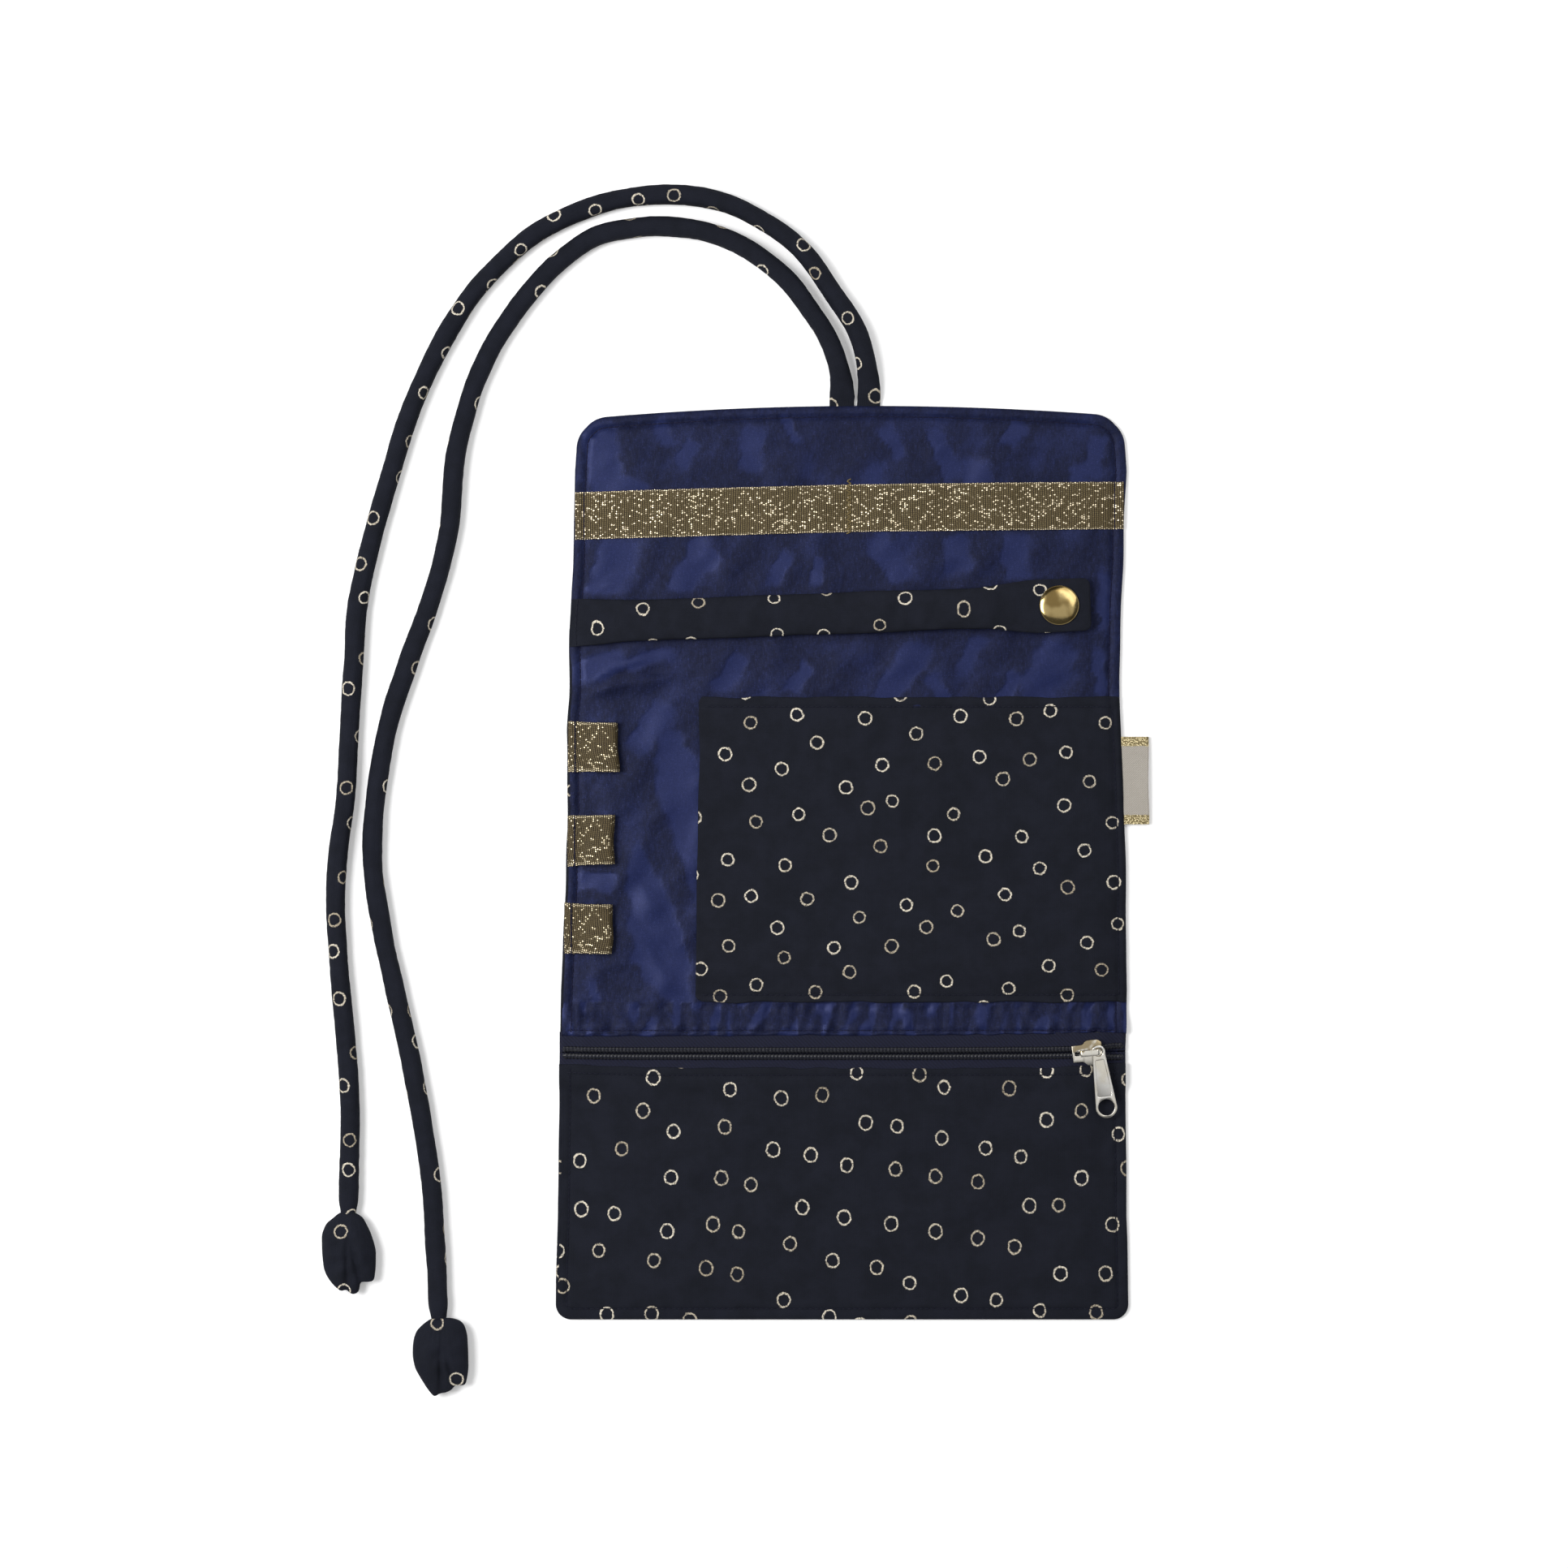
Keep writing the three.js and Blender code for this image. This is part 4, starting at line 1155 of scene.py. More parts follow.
    def inset(
        self, insets: Sequence[float], heights: Sequence[float], top: bool = True, bottom: bool = True
    ) -> np.ndarray:
        """How far each point of a grid is from the nearest sewn edge.

        Args:
            insets: the grid's columns.
            heights: its rows, as nominal heights.
            top: the top edge counts.
            bottom: the bottom edge counts.

        Returns:
            Distances.
        """
        column, nominal = over_grid(insets, heights)
        near = np.minimum(column, self.width - column)
        if top:
            near = np.minimum(near, self.top - nominal)
        if bottom:
            near = np.minimum(near, nominal - self.bottom)
        return near

    def near_side(self, x: np.ndarray, y: np.ndarray | float) -> np.ndarray:
        """How far a place is from the nearer side edge."""
        return np.maximum(np.minimum(x - self.left_at(y), self.right_at(y) - x), 0)

    def puckers(self, x: np.ndarray, y: np.ndarray, inset: np.ndarray, seed: int) -> np.ndarray:
        """Small gathers that the topstitch pulls into the cloth near an edge."""
        where = Ripples(4.2, seed=seed, count=24).at(x + 0.2 * y, y)
        return 0.075 * where * ridge(inset - self.stitch_inset, 2.6) * smooth(inset / 1.2)

    def tape_top(self, inset: np.ndarray) -> np.ndarray:
        """Height of the zip tapes' upper faces, which rise from where the side seams pinch them flat."""
        return self.lining_height + self.tape_pinched + self.tape_rise * smooth((inset - 2.5) / 5.5)

    def rolled(self, inset: np.ndarray) -> np.ndarray:
        """Height of a cloth that rolls over the sewn edge, from the seam up to its own height."""
        rise = self.lining_height - self.seam_height
        return self.seam_height + rise * quarter_round(inset, self.edge_radius)

    def lining_at(self, x: np.ndarray, y: np.ndarray, inset: np.ndarray) -> np.ndarray:
        """Height of the lining's upper face.

        Args:
            x: places across.
            y: places along.
            inset: distances from the nearest sewn edge.

        Returns:
            Z of the face.
        """
        height = self.rolled(inset) + self.lining_rise * smooth((inset - 4) / 9)
        height -= self.lining_groove * ridge(inset - self.stitch_inset, 0.85)
        height += self.puckers(x, y, inset, 11)
        covered = smooth((x - self.pocket_left - 4) / 8) * smooth((47 - np.abs(y - 0.7)) / 5)
        free = smooth((inset - 3.5) / 10) * (1 - 0.8 * covered) * (1 - 0.7 * smooth((-46 - y) / 6))
        relief = 0.2 * Ripples(19, 1.8, 62, seed=21).at(x, y) + 0.11 * Ripples(9, 1.5, 35, seed=22).at(x, y)
        relief += 0.035 * Ripples(3.4, 1.3, 30, seed=23).at(x, y) * (1 - self.taut_at(x, y))
        for crease in self.creases:
            relief += crease.at(x, y) * (1 - covered)
        height += np.where(relief < 0, relief / (1 - relief / self.deepest_hollow), relief) * free
        # The gathered strip, which climbs on to the zip tape and is sewn there
        height += smooth((-49 - y) / 7.5) * np.maximum(self.tape_top(inset) + self.lining_ply - height, 0)
        height -= 0.32 * ridge(y - self.gather_line + 0.3 * Ripples(20, seed=25, count=10).at(x), 0.8) * free
        gathers = 0.32 * Ripples(4.6, 3.2, 78, seed=24, count=24).at(x, y)
        gathers = gathers * smooth((self.gather_start - y) / 2)
        height += gathers * smooth((y + 58.2) / 1.4) * smooth((inset - 3) / 4)
        height -= self.lining_hem_groove * ridge(y - self.lining_hem, 0.6) * smooth((inset - 2) / 3)
        return height

    def outer_at(self, x: np.ndarray, y: np.ndarray, inset: np.ndarray) -> np.ndarray:
        """Height of the outer cloth's under face.

        Args:
            x: places across.
            y: places along.
            inset: distances from the nearest sewn edge.

        Returns:
            Z of the face.
        """
        fall = self.seam_height - self.outer_low
        height = self.seam_height - fall * quarter_round(inset, self.edge_radius)
        height = height + self.outer_groove * ridge(inset - self.stitch_inset, 0.8)
        relief = 0.16 * Ripples(17, 1.6, 50, seed=31).at(x, y) + 0.05 * Ripples(5, 1.3, 20, seed=32).at(x, y)
        relief = np.maximum(relief, -0.02 + 0.02 * relief) * smooth((inset - 3) / 6)
        return height + relief + np.abs(self.puckers(x, y, inset, 12))

    def front_at(self, x: np.ndarray, y: np.ndarray, inset: np.ndarray) -> np.ndarray:
        """Height of the zip pocket's front.

        Args:
            x: places across.
            y: places along.
            inset: distances from the nearest sewn edge.

        Returns:
            Z of its upper face.
        """
        height = self.rolled(inset) + 0.15 * smooth((inset - 2) / 2)
        height = height + self.front_rise * smooth((inset - 4) / 13) * (1 - 0.3 * smooth((-80 - y) / 55))
        height -= self.front_groove * ridge(inset - self.stitch_inset, 0.75)
        height += self.puckers(x, y, inset, 13) * 1.2
        relief = 0.3 * Ripples(26, 1.7, 15, seed=41).at(x, y) + 0.1 * Ripples(10, 1.5, -20, seed=42).at(x, y)
        height += (relief + 0.02 * Ripples(3.5, seed=43).at(x, y)) * smooth((inset - 3.5) / 12)
        # It climbs on to the zip tape, and is sewn there
        height += smooth((y + 77) / 4) * (np.maximum(self.tape_top(inset) + self.front_ply, 0) - height)
        height -= self.front_hem_groove * ridge(y - self.front_hem, 0.65) * smooth((inset - 2) / 3)
        return height


PLAN = Plan()
EDGE_LINES = (0, 0.07, 0.22, 0.45, 0.75, 1.1, 1.5, 2.0, 2.5, 2.9, 3.2, 3.5, 3.8, 4.2, 4.8, 5.6, 6.5)
SPLITS = (56.45, 3.4, -52.6)


def columns(step: float, drop: float = 0) -> list[float]:
    """Column insets across the pouch, from drop inside its sides, close together near both.

    Args:
        step: spacing in between.
        drop: how far inside the sides they start.

    Returns:
        Distances from the left edge.
    """
    last = EDGE_LINES[-1]
    middle = steps(last, PLAN.width - last, step)
    insets = [*EDGE_LINES[:-1], *middle, *(PLAN.width - inset for inset in reversed(EDGE_LINES))]
    return [inset for inset in insets if drop <= inset <= PLAN.width - drop]


def rows(
    low: float, high: float, step: float, low_lines: Sequence[float], high_lines: Sequence[float]
) -> list[float]:
    """Row heights from low to high, with lines close together near both ends and one on every split.

    Args:
        low: the lowest row.
        high: the highest row.
        step: spacing in between.
        low_lines: insets of the close lines at the low end.
        high_lines: insets of the close lines at the high end.

    Returns:
        Heights in rising order.
    """
    marks = [low + low_lines[-1]]
    marks += [y for y in sorted(SPLITS) if marks[0] < y < high - 8]
    marks += [high - high_lines[-1]]
    between = [y for start, end in zip(marks, marks[1:]) for y in steps(start, end, step)]
    last = [high - inset for inset in reversed(high_lines)]
    return [*(low + inset for inset in low_lines[:-1]), *between, *last]


class Fold(Enum):
    """A crease, by its two bodies and where the cloth starts and ends turning."""

    FLAP = ("flap", "spine_upper", 64.8, 61.4)
    UPPER = ("spine_upper", "middle_panel", 51.6, 48.2)
    LOWER = ("middle_panel", "spine_lower", -47.9, -51.4)
    ZIP = ("spine_lower", "zip_panel", -53.8, -58.2)

    def bend(self, made: bpy.types.Object) -> None:
        """Bakes a piece of cloth's placement into its mesh."""
        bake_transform(made)


@dataclass(frozen=True)
class Length:
    """One length of a cloth that runs through the pouch, cut short so that it bends at only one crease."""

    name: str
    fold: Fold
    low: float
    high: float
    parts: tuple[str, ...] = ()

    def rows_of(self, heights: Sequence[float]) -> slice:
        """The rows of a grid that this length takes."""
        taken = [i for i, y in enumerate(heights) if self.low - 1e-6 <= y <= self.high + 1e-6]
        return slice(taken[0], taken[-1] + 1)

    def dress(self, layer: str, made: bpy.types.Object) -> None:
        """Hides this length of one of the CAD model's layers, which a piece stands in for, and bakes the
        piece's placement.

        Args:
            layer: the layer's word in the CAD names.
            made: the piece.
        """
        hem = layer == "lining" and self.fold is Fold.ZIP
        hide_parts(*(["zip_lining_edge"] if hem else [f"{part}_{layer}" for part in self.parts]))
        self.fold.bend(made)


LENGTHS = (
    Length("flap", Fold.FLAP, SPLITS[0], 200, ("flap",)),
    Length("middle_upper", Fold.UPPER, SPLITS[1], SPLITS[0], ("spine_upper", "middle")),
    Length("middle_lower", Fold.LOWER, SPLITS[2], SPLITS[1], ("spine_lower",)),
    Length("zip_panel", Fold.ZIP, -200, SPLITS[2], ("zip_panel",)),
)


def declare_sheet(
    places: np.ndarray
) -> None:
    """Works out the flat size and area that a cut piece of cloth was cut to, from its own grid; they are not
    used.

    Args:
        places: its grid.
    """
    width, length = lengths(places, 1)[:, -1], lengths(places, 0)[-1]
    flat = (max(float(width.max()) * MM, 0.01), max(float(length.max()) * MM, 0.01))
    area = float(np.mean(width) * np.mean(length)) * MM * MM
    area = min(max(area, 0.31 * flat[0] * flat[1]), flat[0] * flat[1])


# Sub-assemblies


@dataclass(frozen=True)
class EdgeSeams:
    """The topstitch lines just inside the sewn edges of one length of cloth."""

    length: Length
    height: Callable[[np.ndarray, np.ndarray, np.ndarray], np.ndarray]
    low_end: float = -200

    def lines(self) -> list[np.ndarray]:
        """Works out the seams.

        Returns:
            Points of each seam on the cloth.
        """
        inset = PLAN.stitch_inset
        low = max(self.length.low, self.low_end, PLAN.bottom + inset)
        high = min(self.length.high, PLAN.top - inset)
        side = steps(low, high, SEAM_STEP) + [high]
        parts = [PLAN.spread([at], side) for at in (inset, PLAN.width - inset)]
        across = steps(inset, PLAN.width - inset, SEAM_STEP) + [PLAN.width - inset]
        if high >= PLAN.top - inset - 1e-6:
            parts.append(PLAN.spread(across, [PLAN.top - inset]))
        if low <= PLAN.bottom + inset + 1e-6:
            parts.append(PLAN.spread(across, [PLAN.bottom + inset]))
        runs = [(x.ravel(), y.ravel()) for x, y in parts]
        return [np.column_stack([x, y, self.height(x, y, np.full(len(x), inset))]) for x, y in runs]


@dataclass(frozen=True)
class OuterCloth:
    """The print cotton outside: it faces down, and its edge rolls up round the side seams."""

    thickness: float = 0.4
    step: float = 1.25
    rolled_over: float = 0.8
    rolled_least: float = 0.06
    rolled_from: float = 66

    def grid(self) -> tuple[np.ndarray, list[float]]:
        """The cloth's under face, from the bottom seam to the top one.

        Returns:
            Its places, and its nominal row heights.
        """
        heights = rows(PLAN.bottom, PLAN.top, self.step, EDGE_LINES, EDGE_LINES)
        insets = columns(self.step)
        x, y = PLAN.spread(insets, heights)
        places = np.stack([x, y, PLAN.outer_at(x, y, PLAN.inset(insets, heights))], axis=2)
        edge_x, edge_y = x[:, 0], y[:, 0]
        over = self.rolled_over * smooth((self.rolled_from - edge_y) / 8)
        over = self.rolled_least + over * smooth((edge_y - PLAN.bottom) / 12)
        reaches = [over * share for share in (1, 0.7, 0.4, 0.15)]
        lip = [np.stack([edge_x + reach, edge_y, PLAN.rolled(reach) + 0.03], axis=1) for reach in reaches]
        return np.concatenate([np.stack(lip, axis=1), places], axis=1), heights

    def build(self) -> None:
        """Makes the cloth's four lengths with their under stitching."""
        places, heights = self.grid()
        cloth = PRINT.material("outer", (3.5, 8.2), 24, by_uv=True)
        thread = DARK_THREAD.material("outer_topstitch_thread")
        for length in LENGTHS:
            cut = places[length.rows_of(heights)][:, ::-1]
            made = piece(f"{length.name}_outer_cloth", plan_mesh(cut, self.thickness), cloth)
            seams = TOPSTITCH.mesh(EdgeSeams(length, PLAN.outer_at).lines(), below=True)
            stitches = piece(f"{length.name}_outer_topstitch", seams, thread)
            length.dress("outer", made)
            length.fold.bend(stitches)
            declare_sheet(cut)


@dataclass(frozen=True)
class Wadding:
    """The polyester batting between the two cloths, one thin pad for each length of the pouch."""

    low: float = 0.48
    high: float = 1.0
    from_edge: float = 5.0
    rounded: float = 0.45
    row_step: float = 0.7
    column_step: float = 2.6

    def build(self) -> None:
        """Makes the pads."""
        cloth = BATTING.material("batting")
        lines = (0, 0.15, 0.45, 1.0, 2.0)
        heights = rows(PLAN.bottom + self.from_edge, PLAN.top - self.from_edge, self.row_step, lines, lines)
        insets = [self.from_edge + i for i in lines[:-1]]
        insets += steps(insets[-1] + 1, PLAN.width - insets[-1] - 1, self.column_step)
        insets += [PLAN.width - self.from_edge - i for i in reversed(lines)]
        x, y = PLAN.spread(insets, heights)
        swell = quarter_round(PLAN.inset(insets, heights) - self.from_edge, self.rounded)
        swell = swell * (self.high - self.low) / 2
        middle = (self.high + self.low) / 2
        fluff = 0.04 * Ripples(8, seed=61, count=20).at(x, y)
        under, over = (np.stack([x, y, middle + side * swell + fluff], axis=2) for side in (-1, 1))
        for length in LENGTHS:
            part = length.rows_of(heights)
            mesh = joined([plan_mesh(over[part]), plan_mesh(under[part][:, ::-1])])
            made = piece(f"{length.name}_wadding_pad", mesh, cloth)
            length.dress("wadding", made)


@dataclass(frozen=True)
class LiningCloth:
    """The taffeta inside, from the top seam to its folded edge on the zip tape."""

    thickness: float = 0.35
    step: float = 1.05
    fold_radius: float = 0.32
    fold_drop: float = 0.5
    edge_drop: float = 0.12
    drawn_in: float = 0.62

    def grid(self) -> tuple[np.ndarray, list[float]]:
        """The lining's upper face.

        Returns:
            Its places, and its nominal row heights.
        """
        low_lines = (0, 0.06, 0.16, 0.32, 0.6, 0.95, 1.3, 1.7, 2.2, 3.0)
        heights = rows(PLAN.lining_end, PLAN.top, self.step, low_lines, EDGE_LINES)
        insets = columns(self.step)
        x, y = PLAN.spread(insets, heights)
        edge = np.interp(x, (-90, -60, 10, 60, 80, 88), (-0.15, 0, 0.2, 0.55, 1.3, 0.9))
        y = y + (edge + 0.12 * Ripples(9, seed=51, count=16).at(x)) * smooth((-55 - y) / 3)
        # Below the flap the left edge draws in, where the outer cloth rolls over it
        across = np.asarray(insets)[None]
        shift = self.drawn_in * smooth((66 - y) / 8) * (1 - smooth(across / 4)) * (across < 10)
        height = PLAN.lining_at(x, y, PLAN.inset(insets, heights, bottom=False) + shift)
        from_fold = np.asarray(heights)[:, None] - PLAN.lining_end
        height = height - self.fold_drop * (1 - quarter_round(from_fold, self.fold_radius))
        height = height - self.edge_drop * (1 - smooth(from_fold / 0.8))
        return np.stack([x + shift, y, height], axis=2), heights

    def hem_seam(self) -> np.ndarray:
        """The seam that holds the folded edge on the zip tape.

        Returns:
            Points on the lining.
        """
        x = np.arange(PLAN.left_at(-57) + 2.5, PLAN.right_at(-57) - 2.5, SEAM_STEP)
        y = np.full_like(x, PLAN.lining_hem)
        return np.column_stack([x, y, PLAN.lining_at(x, y, PLAN.near_side(x, y))])

    def build(self) -> None:
        """Makes the lining's lengths with their topstitching."""
        places, heights = self.grid()
        taut = PLAN.taut_at(places[:, :, 0], places[:, :, 1])
        cloth = TAFFETA.material("lining")
        thread = BLUE_THREAD.material("lining_topstitch_thread")
        for length in LENGTHS:
            part = length.rows_of(heights)
            mesh = plan_mesh(places[part], self.thickness, taut[part])
            made = piece(f"{length.name}_lining_cloth", mesh, cloth)
            seams = EdgeSeams(length, PLAN.lining_at, PLAN.lining_end + 1.2).lines()
            if length.fold is Fold.ZIP:
                seams.append(self.hem_seam())
            stitches = piece(f"{length.name}_lining_topstitch", TOPSTITCH.mesh(seams), thread)
            length.dress("lining", made)
            length.fold.bend(stitches)
            declare_sheet(places[part])


def selvedged(close: Sequence[float], last: float, count: int) -> np.ndarray:
    """Places across a ribbon, close together near its selvedges.

    Args:
        close: the close places, from the selvedge inwards.
        last: the outermost of the places between, which are evenly spaced.
        count: how many those are.

    Returns:
        Numbers from -1 to 1.
    """
    return np.array([*(-place for place in close), *np.linspace(-last, last, count), *reversed(close)])


def upright(x: float, low: float, high: float) -> tuple[np.ndarray, np.ndarray]:
    """X and Y along a short upright seam, from low to high."""
    y = np.arange(low, high + 0.01, 0.5)
    return np.full_like(y, x), y


@dataclass(frozen=True)
class RibbonBand:
    """The glittering ribbon across the flap, held in both side seams and tacked near its middle."""

    wide: float = 15.0
    thickness: float = 0.35
    start: float = -86.0
    tack: float = 2.8
    end: float = 88.0
    start_middle: float = 106.5
    tack_middle: float = 109.0
    end_middle: float = 109.9
    end_edge: float = 110.0
    seam_inset: float = 3.2
    seam_groove: float = 0.2
    lift: float = 0.42
    rise: float = 1.0
    zigzags: int = 24
    zigzag_half: float = 0.75
    zigzag_over: float = 1.2

    def middle_at(self, x: np.ndarray | float) -> np.ndarray:
        """Y of the ribbon's middle at x."""
        middles = (self.start_middle, self.tack_middle, self.end_middle)
        return np.interp(x, (self.start, self.tack, self.end + 2), middles)

    def height_at(self, x: np.ndarray, y: np.ndarray, across: np.ndarray) -> np.ndarray:
        """Height of the ribbon's upper face.

        Args:
            x: places along the ribbon.
            y: their heights on the flap.
            across: -1 at the ribbon's lower selvedge and 1 at its upper one.

        Returns:
            Z of the face.
        """
        near = PLAN.near_side(x, y)
        ground = PLAN.lining_at(x, y, near) + self.lift
        ground = ground - self.seam_groove * ridge(near - self.seam_inset, 0.7)
        left, right = (x - self.start) / (self.tack - self.start), (x - self.tack) / (self.end - self.tack)
        bow = np.sin(math.pi * np.clip(np.where(x < self.tack, left, right), 0, 1))
        wave = 0.16 * Ripples(22, seed=71, count=14).at(x, 5 * across) * bow
        return ground + self.rise * bow**0.8 * (0.8 + 0.2 * across) + wave - 0.12 * np.abs(across) ** 6

    def grid(self) -> tuple[np.ndarray, np.ndarray]:
        """The ribbon's upper face.

        Returns:
            Its places, and its UV map.
        """
        across = selvedged((1, 0.99, 0.96), 0.88, 15)[:, None]
        rim = [0, 0.1, 0.3, 0.6, 1.0, 1.5, 2.2, 3.0, 3.5, 4.2, 5.2]
        middle = steps(rim[-1], PLAN.width - rim[-1], 0.8)
        insets = [*rim[:-1], *middle, *(PLAN.width - inset for inset in reversed(rim))]
        low, high = PLAN.left_at(self.start_middle) + 0.4, PLAN.right_at(self.end_edge) - 0.3
        x = (low + (high - low) * np.array(insets) / PLAN.width)[None] + 0 * across
        y = self.middle_at(x) + across * self.wide / 2
        uv = np.stack([x, 0 * x + across * self.wide / 2], axis=2)
        return np.stack([x, y, self.height_at(x, y, across + 0 * x)], axis=2), uv

    def tack_line(self) -> np.ndarray:
        """The zigzag tack's points.

        Returns:
            Points on the ribbon.
        """
        turns = np.arange(self.zigzags)
        y = self.tack_middle + 0.6 + (turns / (self.zigzags - 1) - 0.5) * (self.wide + 2 * self.zigzag_over)
        x = self.tack - 1 + np.where(turns % 2, self.zigzag_half, -self.zigzag_half)
        across = (y - self.tack_middle) / self.wide * 2
        return even(np.column_stack([x, y, self.height_at(x, y, np.clip(across, -1, 1))]), 0.3)

    def end_seam(self, place: float) -> np.ndarray:
        """The seam that holds one of the ribbon's ends.

        Args:
            place: where it runs.

        Returns:
            Points on the ribbon.
        """
        middle, half = self.middle_at(place), self.wide / 2
        x, y = upright(place, middle - half, middle + half)
        return np.column_stack([x, y, self.height_at(x, y, (y - middle) / half)])

    def build(self) -> None:
        """Makes the ribbon and its zigzag tack."""
        places, uv = self.grid()
        band = piece("ribbon_band_cloth", grid_mesh(places, self.thickness, uv), GLITTER.material("band"))
        tack = ZIGZAG.sewn("ribbon_band_tack", [self.tack_line()], GOLD_THREAD, "tack")
        left, right = PLAN.left_at(self.start_middle), PLAN.right_at(self.end_edge)
        lines = [self.end_seam(x) for x in (left + self.seam_inset, right - self.seam_inset)]
        seams = TOPSTITCH.sewn("ribbon_band_end_stitch", lines, BLUE_THREAD, "band_end_thread")
        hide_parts("ribbon_band")
        ride("flap", band, tack, seams)
        declare_sheet(places)


@dataclass(frozen=True)
class PatchPocket:
    """The lined patch pocket on the middle panel, open at its left."""

    thickness: float = 0.35
    lining_thickness: float = 0.25
    lining_drop: float = 0.42
    lining_inset: float = 0.5
    nominal_wide: float = 134.0
    lean: float = 1.3
    step: float = 1.05
    lift: float = 0.75
    puff: float = 1.35
    groove: float = 0.3
    stitch_top: float = 3.1
    stitch_low: float = 2.3
    stitch_right: float = 2.6
    roll: float = 0.45
    low_radius: float = 2.6
    high_radius: float = 1.6

    def left_at(self, y: np.ndarray | float) -> np.ndarray:
        """X of the pocket's mouth at y."""
        share = (y - PLAN.pocket_low) / (PLAN.pocket_high - PLAN.pocket_low) - 0.5
        return PLAN.pocket_left + self.lean * share + 0.14 * Ripples(34, seed=81, count=10).at(y)

    def height_at(self, x: np.ndarray, y: np.ndarray) -> np.ndarray:
        """Height of the pocket's upper face, pressed down where it is sewn and full between.

        Args:
            x: places across.
            y: places along.

        Returns:
            Z of the face.
        """
        right = np.maximum(PLAN.right_at(y) - x, 0)
        rest = PLAN.lining_height + 0.3
        bare = 1 - smooth((x - PLAN.pocket_left) / 9) * smooth(right / 6)
        ground = rest + (PLAN.lining_at(x, y, right) - rest) * bare
        seams = (
            PLAN.pocket_high - y - self.stitch_top,
            y - PLAN.pocket_low - self.stitch_low,
            right - self.stitch_right,
        )
        sewn = np.minimum.reduce(seams)
        puff = self.puff * smooth((sewn - 0.3) / 9) * (0.75 + 0.25 * smooth((x - PLAN.pocket_left - 2) / 20))
        groove = sum(self.groove * ridge(off, 0.65) for off in seams)
        relief = 0.2 * Ripples(24, 1.8, 8, seed=82).at(x, y) + 0.07 * Ripples(9, 1.4, -15, seed=83).at(x, y)
        gather = 0.07 * Ripples(4.4, seed=84, count=24).at(x, y) * ridge(sewn, 2.6)
        height = ground + self.lift + puff + gather + relief * smooth(sewn / 7) - groove
        seam = PLAN.seam_height + 0.1
        return np.where(right < 1.3, seam + (height - seam) * quarter_round(right, 1.3), height)

    def grid(self, drop: float, gap: float) -> np.ndarray:
        """The upper face of one of the pocket's two cloths.

        Args:
            drop: how far it lies below the front's face.
            gap: how far its mouth and edges lie inside the front's.

        Returns:
            Its places.
        """
        lines = (0, 0.05, 0.15, 0.3, 0.5, 0.8, 1.3, 1.9, 2.3, 2.7, 3.1, 3.6, 4.3)
        low_y, high_y = PLAN.pocket_low + gap, PLAN.pocket_high - gap
        middle = steps(low_y + lines[-1], high_y - lines[-1], self.step)
        last = [high_y - line for line in reversed(lines)]
        heights = np.array([*(low_y + line for line in lines[:-1]), *middle, *last])[:, None]
        middle = steps(lines[-1], self.nominal_wide - EDGE_LINES[-1], self.step)
        inset = np.array([*lines[:-1], *middle, *(self.nominal_wide - i for i in reversed(EDGE_LINES))])[None]
        left, right = self.left_at(heights) + gap, PLAN.right_at(heights) - 0.12 - gap * 0.4
        share = np.clip((inset - 5) / (self.nominal_wide - 12), 0, 1)
        x = left + inset + (right - left - self.nominal_wide) * share
        y = heights + 0.18 * Ripples(14, seed=85, count=10).at(x)
        radius = np.where(y < 0, self.low_radius, self.high_radius)
        across, along = corner_pull(inset, np.minimum(y - low_y, high_y - y), radius)
        x, y = x + across, y + np.where(y < 0, 1, -1) * along
        near = np.minimum(inset, np.minimum(heights - low_y, high_y - heights))
        height = self.height_at(x, y) - drop - (1 - quarter_round(near, self.roll)) * self.roll
        return np.stack([x, y, height], axis=2)

    def seams(self) -> list[np.ndarray]:
        """The three sewn sides.

        Returns:
            Points of each seam on the pocket.
        """
        high, low = PLAN.pocket_high - self.stitch_top, PLAN.pocket_low + self.stitch_low
        mouth = self.left_at(high)
        lines = []
        for y, start in ((high, mouth + 2.0), (low, mouth + 1.2)):
            x = np.arange(start, PLAN.right_at(y) - self.stitch_right, SEAM_STEP)
            lines.append((x, np.full_like(x, y)))
        y = np.arange(low, high, SEAM_STEP)
        lines.append((PLAN.right_at(y) - self.stitch_right, y))
        return [np.column_stack([x, y, self.height_at(x, y)]) for x, y in lines]

    def build(self) -> None:
        """Makes the pocket's front, its lining and its stitching."""
        face, behind = self.grid(0, 0), self.grid(self.lining_drop, self.lining_inset)
        printed = PRINT.material("patch", (7, -2.5), -31)
        front = piece("patch_pocket_cloth", plan_mesh(face, self.thickness), printed)
        mesh = plan_mesh(behind, self.lining_thickness)
        back = piece("patch_pocket_lining_cloth", mesh, TAFFETA.material("patch_inside"))
        stitches = TOPSTITCH.sewn("patch_pocket_topstitch", self.seams(), DARK_THREAD, "patch_thread")
        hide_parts("patch_pocket_front")
        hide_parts("patch_pocket_lining")
        ride("middle_panel", front, back, stitches)
        declare_sheet(face)
        declare_sheet(behind)


